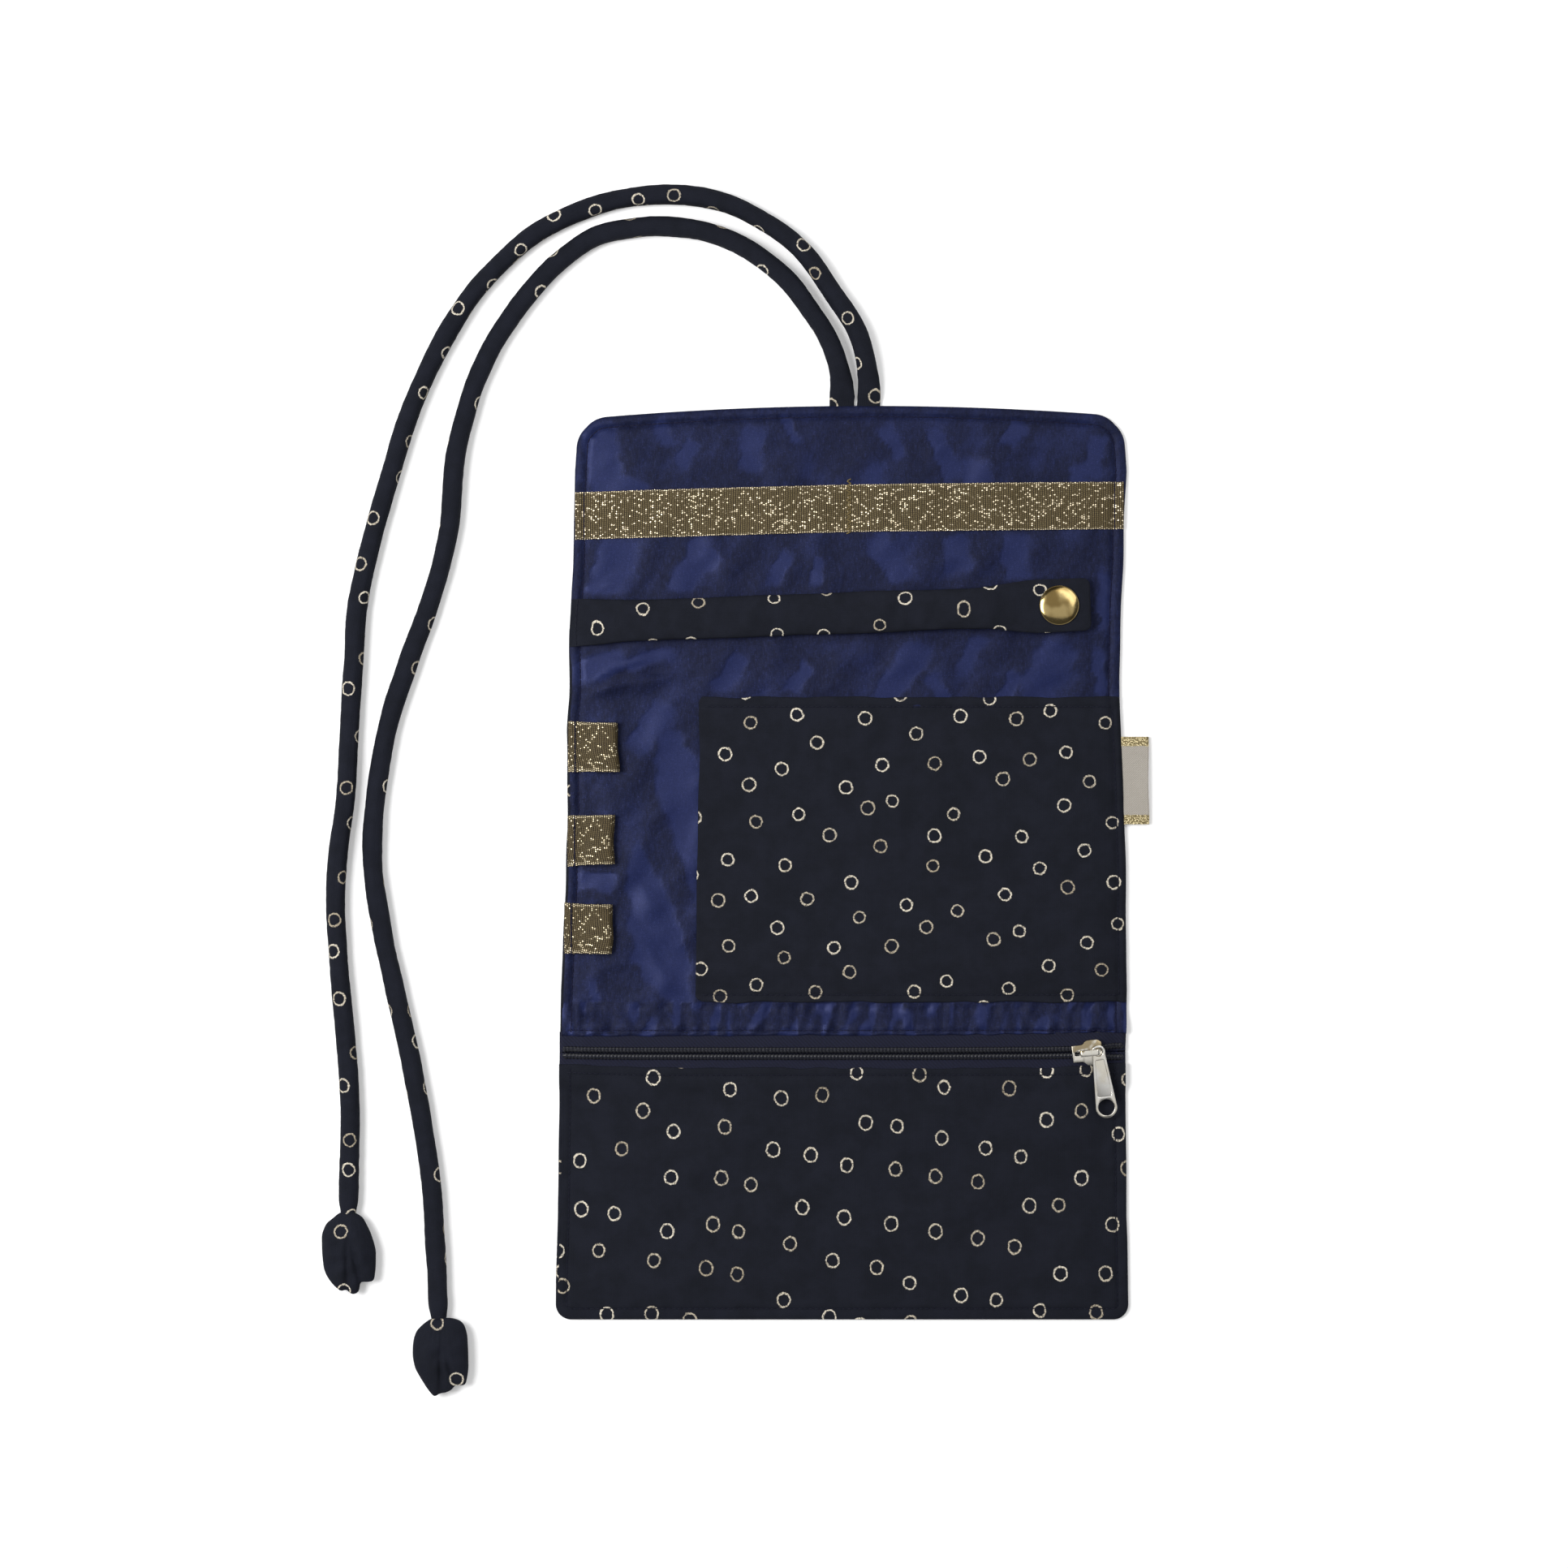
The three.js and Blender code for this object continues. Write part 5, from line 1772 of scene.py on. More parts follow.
@dataclass(frozen=True)
class ChainLoops:
    """Three folded ribbon loops in the left side seam."""

    wide: float = 15.6
    loops: tuple[tuple[str, float, float], ...] = (
        ("top", 33.4, 16.2), ("middle", 3.4, 15.4), ("bottom", -24.2, 15.7),
    )
    hollow: float = 3.6
    low: float = 2.2
    thickness: float = 0.35
    stitch_run: float = 2.6
    stitch_over: float = 0.6
    stitch_height: float = 2.68

    def loop(self, middle: float, reach: float, seed: int) -> np.ndarray:
        """Places of one loop, from its end under the seam round the fold and back.

        Args:
            middle: Y of the loop's middle.
            reach: how far it stands in from the pouch's edge.
            seed: which of the loops it is.

        Returns:
            Rows along the ribbon, columns across it.
        """
        half, low, top = self.hollow / 2, self.low, self.low - 0.1 + self.hollow
        points = [
            (0.3, 1.6), (1.2, 2.0), (3.2, low), (6, low), (9, low), (reach - half * 1.5, low),
            (reach - half * 0.55, low + half * 0.2), (reach, low + half * 0.95),
            (reach - half * 0.5, top - half * 0.15), (reach - half * 1.7, top - 0.05),
            (reach - 7.5, top - 0.6), (reach - 10.5, 3.6), (3.6, 2.75), (1.3, 2.35), (0.35, 1.75),
        ]
        edge = PLAN.left_at(middle)
        path = rounded_path([(edge + x, z) for x, z in points], 0.4)
        across = selvedged((1, 0.985, 0.95), 0.86, 15)
        share = np.linspace(0, 1, len(path))[:, None]
        bow = np.sin(math.pi * share)
        pinch = 1 + 0.035 * (1 - smooth(np.minimum(share, 1 - share) / 0.2))
        y = middle + across[None] * self.wide / 2 * pinch + 0.5 * bow * (1 if seed % 2 else -0.6)
        x = path[:, :1] + 0.28 * Ripples(16, seed=90 + seed, count=10).at(y) * bow
        wave = 0.12 * Ripples(11, seed=94 + seed, count=10).at(y, 30 * share)
        z = path[:, 1:] + wave * smooth(share * 5) * smooth((1 - share) * 5)
        return np.stack([x, y, z], axis=2)[:, ::-1]

    def build(self) -> None:
        """Makes the three loops."""
        finish = SHADED_LOOP_GLITTER.material("loops")
        half = self.wide / 2
        for index, (part, middle, stands) in enumerate(self.loops):
            places = self.loop(middle, stands, index)
            uv = np.stack([lengths(places, 0), lengths(places, 1) - half], axis=2)
            mesh = grid_mesh(places[:, ::-1], self.thickness, uv[:, ::-1])
            made = piece(f"chain_loop_{part}_ribbon", mesh, finish)
            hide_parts(f"chain_loop_{part}")
            reach = half + self.stitch_over
            x, y = upright(PLAN.left_at(middle) + self.stitch_run, middle - reach, middle + reach)
            seam = np.column_stack([x, y, np.full_like(y, self.stitch_height)])
            stitch = TOPSTITCH.sewn(f"chain_loop_{part}_stitch", [seam], BLUE_THREAD, f"loop_{part}_thread")
            ride("middle_panel", made, stitch)
            declare_sheet(places)


@dataclass(frozen=True)
class SideLabel:
    """The small folded woven label in the right side seam, left bare."""

    long: float = 27.8
    middle: float = 22.6
    reach: float = 8.1
    ply: float = 0.3

    def build(self) -> None:
        """Makes the label: one tape folded on itself."""
        edge, reach = PLAN.right_at(self.middle), self.reach
        points = [
            (-1.2, 1.12), (0.5, 1.08), (3, 1.02), (reach - 1, 1.0), (reach - 0.25, 1.06), (reach, 1.28),
            (reach - 0.25, 1.5), (reach - 1, 1.57), (3, 1.62), (0.5, 1.6), (-1.2, 1.5),
        ]
        path = rounded_path([(edge + x, z) for x, z in points], 0.22)
        across = selvedged((1, 0.99), 0.96, 27)
        y = self.middle + across[None] * self.long / 2 + 0 * path[:, :1]
        out = np.clip((path[:, :1] - edge) / reach, 0, 1)
        x = path[:, :1] + 0.12 * Ripples(18, seed=99, count=8).at(y) * out
        z = path[:, 1:] + (0.22 * Ripples(20, seed=98, count=10).at(y) - 0.1) * out**2 + 0.25 * out**2
        places = np.stack([x, y, z], axis=2)
        finish = LABEL.material("label", self.middle, self.long)
        made = piece("side_label_tape", grid_mesh(places, self.ply), finish)
        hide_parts("side_label")
        ride("middle_panel", made)
        declare_sheet(places)


@dataclass(frozen=True)
class ZipPocket:
    """The zipped pocket: its tapes and coils, the front cut, and the linings inside."""

    coil_reach: float = 1.04
    coil_wide: float = 2.0
    coil_high: float = 1.05
    pitch: float = 1.13
    coil_step: float = 1.13 / 7
    step: float = 1.1
    gap_from: float = 79.0
    gap: float = 0.75
    tape_high: float = -57.2
    tape_low: float = -73.2
    tape_thickness: float = 0.32
    tape_clear: float = 0.12
    tape_radius: float = 1.6
    tape_rows: int = 12
    thickness: float = 0.35
    lining_thickness: float = 0.25
    lining_drop: float = 0.42
    back_end: float = -57.5
    back_inset: float = 2.5
    back_step: float = 2.5
    fold_drop: float = 0.45
    fold_radius: float = 0.4
    coil_sides: int = 12
    seam_short: float = 2.4

    def chain_at(self, x: np.ndarray) -> np.ndarray:
        """Y of the chain's middle at x, which sags a little where the cloth is free."""
        return PLAN.chain + np.interp(x, (-86, -68, 25, 62, 88), (-0.4, -0.6, -0.65, -0.45, 0))

    def parting(self, x: np.ndarray) -> np.ndarray:
        """Half the gap between the two rows, which stay open past the slider."""
        return self.gap * smooth((x - self.gap_from) / 7)

    def tape(self, side: int) -> np.ndarray:
        """Places of one tape.

        Args:
            side: 1 for the upper tape, which is sewn to the lining, and -1 for the lower one.

        Returns:
            Rows up the tape, columns along it.
        """
        ends = np.array([-0.03, 0.12, 0.3, 0.6, 1.0, 1.4])
        insets = [*ends, *steps(2, PLAN.width - 2, 1.2), *(PLAN.width - ends[::-1])]
        x, _ = PLAN.spread(insets, [PLAN.chain])
        near = self.chain_at(x) + side * (self.tape_clear + 0.15 * self.parting(x))
        far = self.tape_high if side > 0 else self.tape_low
        y = (near + (far - near) * np.linspace(0, 1, self.tape_rows)[:, None])[::side]
        x = np.broadcast_to(x, y.shape)
        inset = PLAN.near_side(x, y)
        height = PLAN.tape_top(inset) + 0.05 * Ripples(12, 2, 0, seed=101).at(x, y)
        height = PLAN.seam_height + (height - PLAN.seam_height) * quarter_round(inset, self.tape_radius)
        return np.stack([x, y, height], axis=2)

    def coil(self, side: int) -> np.ndarray:
        """Places of one row of the nylon coil, as a lumpy tube.

        Args:
            side: 1 for the upper row and -1 for the lower one.

        Returns:
            Rows along the coil, columns round it.
        """
        x = np.arange(PLAN.left_at(-63.0) + 0.9, PLAN.right_at(-63.0) - 0.6, self.coil_step)
        y = self.chain_at(x) + side * (self.coil_reach + self.parting(x))
        path = np.column_stack([x, y, PLAN.tape_top(PLAN.near_side(x, y)) - 0.05 + self.coil_high / 2])
        ends = smooth(np.minimum(x - x[0], x[-1] - x) / 1.2 + 0.25)
        places = tube(path, self.coil_wide * ends, self.coil_high * ends, self.coil_sides, 0.8)
        angle = np.linspace(0, math.tau, self.coil_sides + 1)[None]
        phase = math.tau * (x[:, None] / self.pitch + 0.25 * side) + side * 0.5 * np.cos(angle)
        return scaled(places, path, 0.64 + 0.36 * np.abs(np.cos(phase / 2)) ** 0.9)

    def front(self, drop: float) -> np.ndarray:
        """The upper face of the front, or of the lining behind it.

        Args:
            drop: how far below the front's face it lies.

        Returns:
            Its places.
        """
        top_lines = (0, 0.06, 0.16, 0.32, 0.6, 0.95, 1.3, 1.7, 2.1, 2.5, 3.0)
        heights = rows(PLAN.bottom + drop, PLAN.front_end - drop, self.step, EDGE_LINES, top_lines)
        insets = columns(self.step, drop * 1.2)
        x, y = PLAN.spread(insets, heights)
        edge = np.interp(x, (-90, -82, -62, -22, 25, 66, 90), (1.2, 0.9, 0.1, 0, -0.2, 0.2, 1.5))
        y = y + (edge + 0.12 * Ripples(11, seed=111, count=14).at(x)) * smooth((y + 74) / 4)
        height = PLAN.front_at(x, y, PLAN.inset(insets, heights, top=False))
        from_fold = PLAN.front_end - drop - np.asarray(heights)[:, None]
        height = height - self.fold_drop * (1 - quarter_round(from_fold, self.fold_radius)) - drop
        return np.stack([x, y, height], axis=2)

    def back(self) -> np.ndarray:
        """The upper face of the lining at the pocket's back.

        Returns:
            Its places.
        """
        insets = [self.back_inset, *steps(4, PLAN.width - 4, self.back_step), PLAN.width - self.back_inset]
        heights = [*steps(PLAN.bottom + 3, self.back_end, self.back_step), self.back_end]
        x, y = PLAN.spread(insets, heights)
        near = PLAN.inset(insets, heights, top=False)
        return np.stack([x, y, PLAN.lining_height - 0.05 - 0.85 * smooth((7 - near) / 3)], axis=2)

    def seams(self) -> list[np.ndarray]:
        """The front's sewn edges, and the seam along its folded one.

        Returns:
            Points of each seam on the front.
        """
        lines = EdgeSeams(Length("front", Fold.ZIP, -200, PLAN.front_end + 0.6), PLAN.front_at).lines()
        left, right = PLAN.left_at(PLAN.front_hem), PLAN.right_at(PLAN.front_hem)
        x = np.arange(left + self.seam_short, right - self.seam_short, SEAM_STEP)
        y = PLAN.front_hem + np.interp(x, (-90, -82, -62, 66, 90), (0.9, 0.7, 0, 0.1, 0.9))
        return [*lines, np.column_stack([x, y, PLAN.front_at(x, y, PLAN.near_side(x, y))])]

    def build(self) -> None:
        """Makes the pocket."""
        tape, nylon = TAPE.material("zip_tape"), NYLON.material("zip_nylon")
        thread = DARK_THREAD.material("zip_thread")
        for name, side in (("upper", 1), ("lower", -1)):
            places, row = self.tape(side), self.coil(side)
            cloth = piece(f"zip_tape_{name}_cloth", plan_mesh(places, self.tape_thickness), tape)
            coil = piece(f"zip_coil_{name}_nylon", joined([grid_mesh(row)]), nylon, 80)
            along = row[:, :-1].mean(axis=1) + (0, 0.18 * side, 0)
            along[:, 2] = row[:, :, 2].max(axis=1) - 0.02
            sewn = piece(f"zip_coil_{name}_stitch", TAPE_SEWING.mesh([even(along, 0.5)]), thread)
            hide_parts(f"zip_tape_{name}")
            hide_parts(f"zip_coil_{name}")
            declare_sheet(places)
            ride("zip_panel", cloth, coil, sewn)
        face, inner, back = self.front(0), self.front(self.lining_drop), self.back()
        printed = PRINT.material("zip_front", (-3.2, 5.8), 12, 1.12)
        front = piece("zip_pocket_front_cloth", plan_mesh(face, self.thickness), printed)
        lining = TAFFETA.material("zip_inside")
        behind = piece("zip_pocket_front_lining_cloth", plan_mesh(inner, self.lining_thickness), lining)
        rear = piece("zip_pocket_back_cloth", plan_mesh(back, self.lining_thickness), lining)
        stitches = TOPSTITCH.sewn("zip_pocket_topstitch", self.seams(), DARK_THREAD, "zip_front_thread")
        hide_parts("zip_pocket_front")
        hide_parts("zip_pocket_front_lining")
        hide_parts("zip_pocket_back")
        declare_sheet(face)
        declare_sheet(inner)
        declare_sheet(back)
        ride("zip_panel", front, behind, rear, stitches)


def pierced(mesh: bpy.types.Mesh, low: Sequence[float], high: Sequence[float]) -> bpy.types.Mesh:
    """A mesh with a box cut out of it.

    Args:
        mesh: the mesh.
        low: the box's lowest corner, in millimetres.
        high: the box's highest corner.

    Returns:
        The new mesh.
    """
    shape = bmesh.new()
    bmesh.ops.create_cube(shape, size=1)
    size, middle = Vector(high) - Vector(low), (Vector(high) + Vector(low)) / 2
    fitted = Matrix.Translation(middle * MM) @ Matrix.Diagonal((*(size * MM), 1))
    bmesh.ops.transform(shape, matrix=fitted, verts=shape.verts)
    target, cutter = placed("target", mesh), placed("cutter", to_mesh(shape))
    cut = target.modifiers.new("window", "BOOLEAN")
    cut.object, cut.operation, cut.solver = cutter, "DIFFERENCE", "EXACT"
    graph = bpy.context.evaluated_depsgraph_get()
    result = bpy.data.meshes.new_from_object(target.evaluated_get(graph))
    for made in (target, cutter):
        bpy.data.objects.remove(made)
    return result


CRISP_DEGREES = 30
FLAT_DEGREES = 2


def metal_copy(
    name: str, cad_node: str, material: bpy.types.Material, bevel: float, hole: Sequence | None = None
) -> bpy.types.Object:
    """A metal part of the CAD model with its edges broken as casting and plating leave them.

    Args:
        name: the piece's name.
        cad_node: the CAD node that it stands for.
        material: its plating.
        bevel: the edges' round, in millimetres.
        hole: two corners of a box to cut out, in millimetres.

    Returns:
        The piece.
    """
    shape = bmesh.new()
    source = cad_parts[cad_node]
    shape.from_mesh((source if isinstance(source, bpy.types.Object) else bpy.data.objects[cad_node]).data)
    bmesh.ops.remove_doubles(shape, verts=shape.verts, dist=1e-6)
    if hole:
        mesh = pierced(to_mesh(shape), *hole)
        shape = bmesh.new()
        shape.from_mesh(mesh)
    flat = math.radians(FLAT_DEGREES)
    bmesh.ops.dissolve_limit(shape, angle_limit=flat, verts=shape.verts, edges=shape.edges)
    bmesh.ops.recalc_face_normals(shape, faces=shape.faces)
    crisp = math.radians(CRISP_DEGREES)
    edges = [edge for edge in shape.edges if len(edge.link_faces) == 2 and edge.calc_face_angle(0) > crisp]
    bmesh.ops.bevel(
        shape, geom=edges, offset=bevel * MM, offset_type="OFFSET", segments=3, affect="EDGES", profile=0.5,
        material=-1, clamp_overlap=True,
    )
    made = piece(name, to_mesh(shape), material, CRISP_DEGREES)
    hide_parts(cad_node)
    return made


@dataclass(frozen=True)
class ZipSlider:
    """The die-cast slider with its window and bridge, which sits askew, and the swinging pull."""

    eye: tuple[float, float, float] = (80.59, -63.25, 5.7)
    askew: float = 6.0
    turn: float = 8.6
    slope: float = 4.0
    long: float = 17.75
    eye_radius: float = 2.15
    eye_bore: float = 1.4
    end_radius: float = 3.4
    hole: float = 2.6
    thick: float = 0.7
    waist: float = 0.35
    panel_top: float = 1.35
    panel_low: float = 2.25
    rounded: float = 0.13
    panel_depth: float = 0.14
    body_bevel: float = 0.16
    bridge_bevel: float = 0.2
    window_low: tuple[float, float, float] = (-7.4, -0.65, -1.7)
    window_high: tuple[float, float, float] = (-5.7, 0.65, 2.3)

    def arc(
        self, radius: float, y: float = 0, start: float = 0, end: float = math.tau
    ) -> list[tuple[float, float]]:
        """Points of an arc on the pull's middle line, without its far end where it is a whole circle."""
        angles = np.linspace(start, end, 65)[:64] if end - start >= math.tau else np.linspace(start, end, 49)
        return [(radius * math.cos(a), y + radius * math.sin(a)) for a in angles]

    def plate(
        self, outlines: Sequence[Sequence[tuple[float, float]]], low: float, high: float
    ) -> bpy.types.Mesh:
        """A flat plate with holes and rounded edges.

        Args:
            outlines: its outline and its holes' outlines, in millimetres.
            low: height of its under face.
            high: height of its upper face.

        Returns:
            The mesh.
        """
        curve = bpy.data.curves.new("plate", "CURVE")
        curve.dimensions, curve.fill_mode = "2D", "BOTH"
        curve.extrude = ((high - low) / 2 - self.rounded) * MM
        curve.bevel_depth, curve.bevel_resolution, curve.offset = self.rounded * MM, 3, -self.rounded * MM
        for outline in outlines:
            spline = curve.splines.new("POLY")
            spline.points.add(len(outline) - 1)
            spline.use_cyclic_u = True
            for point, (x, y) in zip(spline.points, outline):
                point.co = (x * MM, y * MM, 0, 1)
        source = bpy.data.objects.new("plate", curve)
        mesh = bpy.data.meshes.new_from_object(source)
        bpy.data.objects.remove(source)
        mesh.transform(Matrix.Translation((0, 0, (low + high) / 2 * MM)))
        return mesh

    def pull(self, metal: bpy.types.Material) -> bpy.types.Object:
        """The pull: a stamped plate with an eye, a sunken panel and a round hole.

        Args:
            metal: its plating.

        Returns:
            The piece.
        """
        outline = self.arc(self.end_radius, -self.long, math.pi * 1.03, math.pi * 1.97)
        outline += self.arc(self.eye_radius, 0, -self.waist, math.pi + self.waist)
        top, low = -self.eye_radius - 0.8, -self.long + self.end_radius + 0.5
        half = [(1.15, top + 0.3), (self.panel_top, top), (self.panel_low, low), (1.9, low - 0.4)]
        mirrored = [(-x, y) for x, y in reversed(half)]
        panel = [*mirrored[2:], *half, *mirrored[:2]]
        hole, bore = self.arc(self.hole, -self.long), self.arc(self.eye_bore)
        middle = (top + low) / 2
        floor = [(x * 1.12, (y - middle) * 1.03 + middle) for x, y in panel]
        plates = [self.plate([outline, bore, hole, panel], 0, self.thick)]
        plates.append(self.plate([floor], self.panel_depth, self.thick - self.panel_depth))
        mesh = joined(plates, close=False)
        turn, slope = math.radians(self.turn), math.radians(self.slope)
        turned = Matrix.Rotation(turn, 4, "Z") @ Matrix.Rotation(slope, 4, "X")
        mesh.transform(Matrix.Translation(Vector(self.eye) * MM) @ turned)
        made = piece("zip_pull_casting", mesh, metal, 50)
        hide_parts("zip_pull")
        return made

    def build(self) -> None:
        """Makes the slider, the bridge and the pull."""
        body, pull = CAST_BODY.material("slider_nickel"), NICKEL.material("pull_nickel")
        centre = Vector(self.eye) * MM
        turn = Matrix.Rotation(math.radians(self.askew), 4, "Z")
        askew = Matrix.Translation(centre) @ turn @ Matrix.Translation(-centre)
        corners = (self.window_low, self.window_high)
        window = [[at + off for at, off in zip(self.eye, corner)] for corner in corners]
        parts = (("slider_body", self.body_bevel, window), ("slider_bridge", self.bridge_bevel, None))
        for cad_node, bevel, hole in parts:
            made = metal_copy(f"{cad_node}_casting", cad_node, body, bevel, hole)
            made.data.transform(askew)
            ride("zip_slider", made)
        ride("zip_pull", self.pull(pull))


class StrapSection(NamedTuple):
    """The ring strap's section at each of its rows."""

    run: np.ndarray
    wide: np.ndarray
    high: np.ndarray
    under: np.ndarray


@dataclass(frozen=True)
class RingStrap:
    """The filled print tube that rings slide on, with the cap of its snap."""

    root: tuple[float, float] = (-86.643, 72.5)
    angle: float = 2.05
    long: float = 165.0
    wide: float = 15.2
    round_high: float = 3.7
    corner: float = 2.4
    sides: int = 40
    stitch_run: float = 2.6
    snap_from_end: float = 10.0
    snap_bevel: float = 0.1
    pressed_long: float = 16.0
    swell_run: float = 22
    climb_run: float = 44
    least_high: float = 1.5
    narrowed: float = 2.2
    widened: float = 1.6
    under_low: float = 2.25
    under_lift: float = 0.3
    under_climb: float = 1.85
    sewn_drop: float = 1.15
    sewn_squash: float = 0.6
    row_step: float = 0.75
    cap_wide: float = 12.5
    cap_high: float = 1.5
    cap_low: float = 5.4
    shank: float = 1.75

    def sections(self) -> StrapSection:
        """The strap's section along its length.

        Returns:
            Distances from the root, widths, heights and the heights of its under face.
        """
        caps = np.array([0, 0.02, 0.08, 0.2, 0.4, 0.7, 1.1, 1.7, 2.4, 3.2, 4.2])
        run = np.array([*np.arange(0, self.long - 4.6, self.row_step), *(self.long - caps[::-1])])
        pressed = self.long - self.pressed_long
        swell = smooth(run / self.swell_run) * (1 - smooth((run - pressed + self.swell_run) / self.swell_run))
        climb = smooth((run - pressed + self.climb_run) / self.climb_run)
        flat = self.least_high - 0.2 * smooth(run / pressed)
        wide = self.wide - self.narrowed * swell + self.widened * smooth((run - pressed + 18) / 20)
        wide = wide + 0.15 * Ripples(40, seed=121, count=10).at(run)
        sewn = 1 - smooth(run / 3.2)
        under = self.under_low + self.under_lift * smooth(run / self.swell_run) * (1 - climb)
        under = under + self.under_climb * climb - self.sewn_drop * sewn
        high = flat + (self.round_high - flat) * swell - self.sewn_squash * sewn
        return StrapSection(run, wide, high, under)

    def out(self, run: np.ndarray | float) -> tuple:
        """X and Y of the strap's middle line, a distance from its root."""
        turn = math.radians(self.angle)
        return self.root[0] + run * math.cos(turn), self.root[1] + run * math.sin(turn)

    def tube(self, section: StrapSection, path: np.ndarray) -> tuple[np.ndarray, np.ndarray]:
        """The strap's skin.

        Args:
            section: its sections.
            path: its middle line.

        Returns:
            Its places, and its UV map.
        """
        run, wide, high, _ = section
        left = self.long - run
        ends = 1 - 2 * self.corner / wide * (1 - quarter_round(left, self.corner)) * 0.86
        thick = np.maximum(high * quarter_round(left, 0.55), 0.002)
        places = tube(path, wide * ends, thick, self.sides, 0.78)
        angle = np.linspace(0, math.tau, self.sides + 1)[None]
        upper = np.maximum(np.sin(angle), 0)
        run, left = run[:, None], left[:, None]
        around = np.cos(angle) * wide[:, None] / 2
        gather = 0.22 * Ripples(5.5, 3.0, 0, seed=122, count=20).at(run, around * 1.6)
        gather = gather * (1 - smooth(run / 20))
        wrinkle = 0.13 * Ripples(8, 1.6, 70, seed=123).at(run, around) * smooth(run / 10) * smooth(left / 14)
        places[:, :, 2] += (gather + wrinkle) * upper - 0.35 * ridge(run - self.stitch_run, 0.8) * upper
        places[:, :, 1] += 0.07 * Ripples(16, seed=124, count=14).at(run) * smooth(run / 6) * smooth(left / 8)
        # The sewn end is cut along the pouch's edge
        aside = places[:, :, 1] - self.root[1]
        edge = PLAN.left_at(places[:, :, 1]) - PLAN.left_at(self.root[1])
        places[:, :, 0] += (edge + aside * math.sin(math.radians(self.angle)) + 0.1) * (1 - smooth(run / 9))
        half = (wide * ends / 2)[:, None]
        girth = np.where(np.sin(angle) >= 0, half * np.cos(angle), 2 * half - half * np.cos(angle))
        return places, np.stack([girth, np.broadcast_to(run, girth.shape)], axis=2)

    def build(self) -> None:
        """Makes the strap, its filling and its snap."""
        section = self.sections()
        run, wide, high, under = section
        path = np.column_stack([*self.out(run), under + high / 2])
        places, uv = self.tube(section, path)
        printed = PRINT.material("strap", (4, 6.5), 8, by_uv=True)
        cover = piece("ring_strap_cloth", joined([grid_mesh(places, uv=uv)]), printed, 70)
        inner = tube(path[14:-24], wide[14:-24] * 0.7, np.maximum(high[14:-24] - 1.2, 0.4), 16, 0.8)
        filling = piece("ring_strap_filling", joined([grid_mesh(inner)]), BATTING.material("strap_fill"))
        upper = np.sin(np.linspace(0, math.tau, self.sides + 1)) > 0.3
        line = even(places[int(np.argmin(np.abs(run - self.stitch_run)))][upper], 0.5)
        bar = TOPSTITCH.sewn("ring_strap_bar_stitch", [line], DARK_THREAD, "strap_thread")
        plate = PALE_GOLD.material("gold_plate")
        cap = self.cap(plate)
        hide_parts("strap_cover")
        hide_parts("strap_wadding")
        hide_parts("snap_cap")
        ride("ring_strap", cover, filling, bar, cap)
        for cad_node, body in (("snap_socket", "ring_strap"), ("snap_stud", "flap"), ("snap_post", "flap")):
            ride(body, metal_copy(f"{cad_node}_plated", cad_node, plate, self.snap_bevel))

    def cap(self, plate: bpy.types.Material) -> bpy.types.Object:
        """The snap's domed cap, spun from its half section with a rolled rim, and its shank.

        Args:
            plate: its plating.

        Returns:
            The piece.
        """
        low, half, rise = self.cap_low, self.cap_wide / 2, self.cap_high - 0.45
        angles = np.linspace(0, math.pi / 2, 22)
        section = [(half * math.sin(a), low + 0.45 + rise * math.cos(a) ** 1.1) for a in angles]
        section += [(half - 0.04, low + 0.25), (half - 0.2, low + 0.07), (half - 0.5, low)]
        section += [(self.shank + 0.15, low), (self.shank, low - 1.25), (0, low - 1.25)]
        shape = bmesh.new()
        vertices = [shape.verts.new((radius * MM, 0, z * MM)) for radius, z in section]
        edges = [shape.edges.new(pair) for pair in zip(vertices, vertices[1:])]
        bmesh.ops.spin(
            shape, geom=vertices + edges, cent=(0, 0, 0), axis=(0, 0, 1), angle=math.tau, steps=72,
            use_merge=True, use_duplicate=False,
        )
        bmesh.ops.remove_doubles(shape, verts=shape.verts, dist=1e-6)
        bmesh.ops.recalc_face_normals(shape, faces=shape.faces)
        place = Vector((*self.out(self.long - self.snap_from_end), 0))
        bmesh.ops.translate(shape, verts=shape.verts, vec=place * MM)
        return piece("snap_cap_dome", to_mesh(shape), plate, 40)


@dataclass(frozen=True)
class Bud:
    """The gathered cloth bud that caps a tie: its outline from the tie's neck, and where its petals part."""

    neck: tuple[float, float]
    outline: tuple[tuple[float, float], ...]
    valleys: tuple[tuple[float, float], ...]
    centre: tuple[float, float]
    high: float = 8.4
    long: float = 24
    around: int = 96
    rings: int = 22


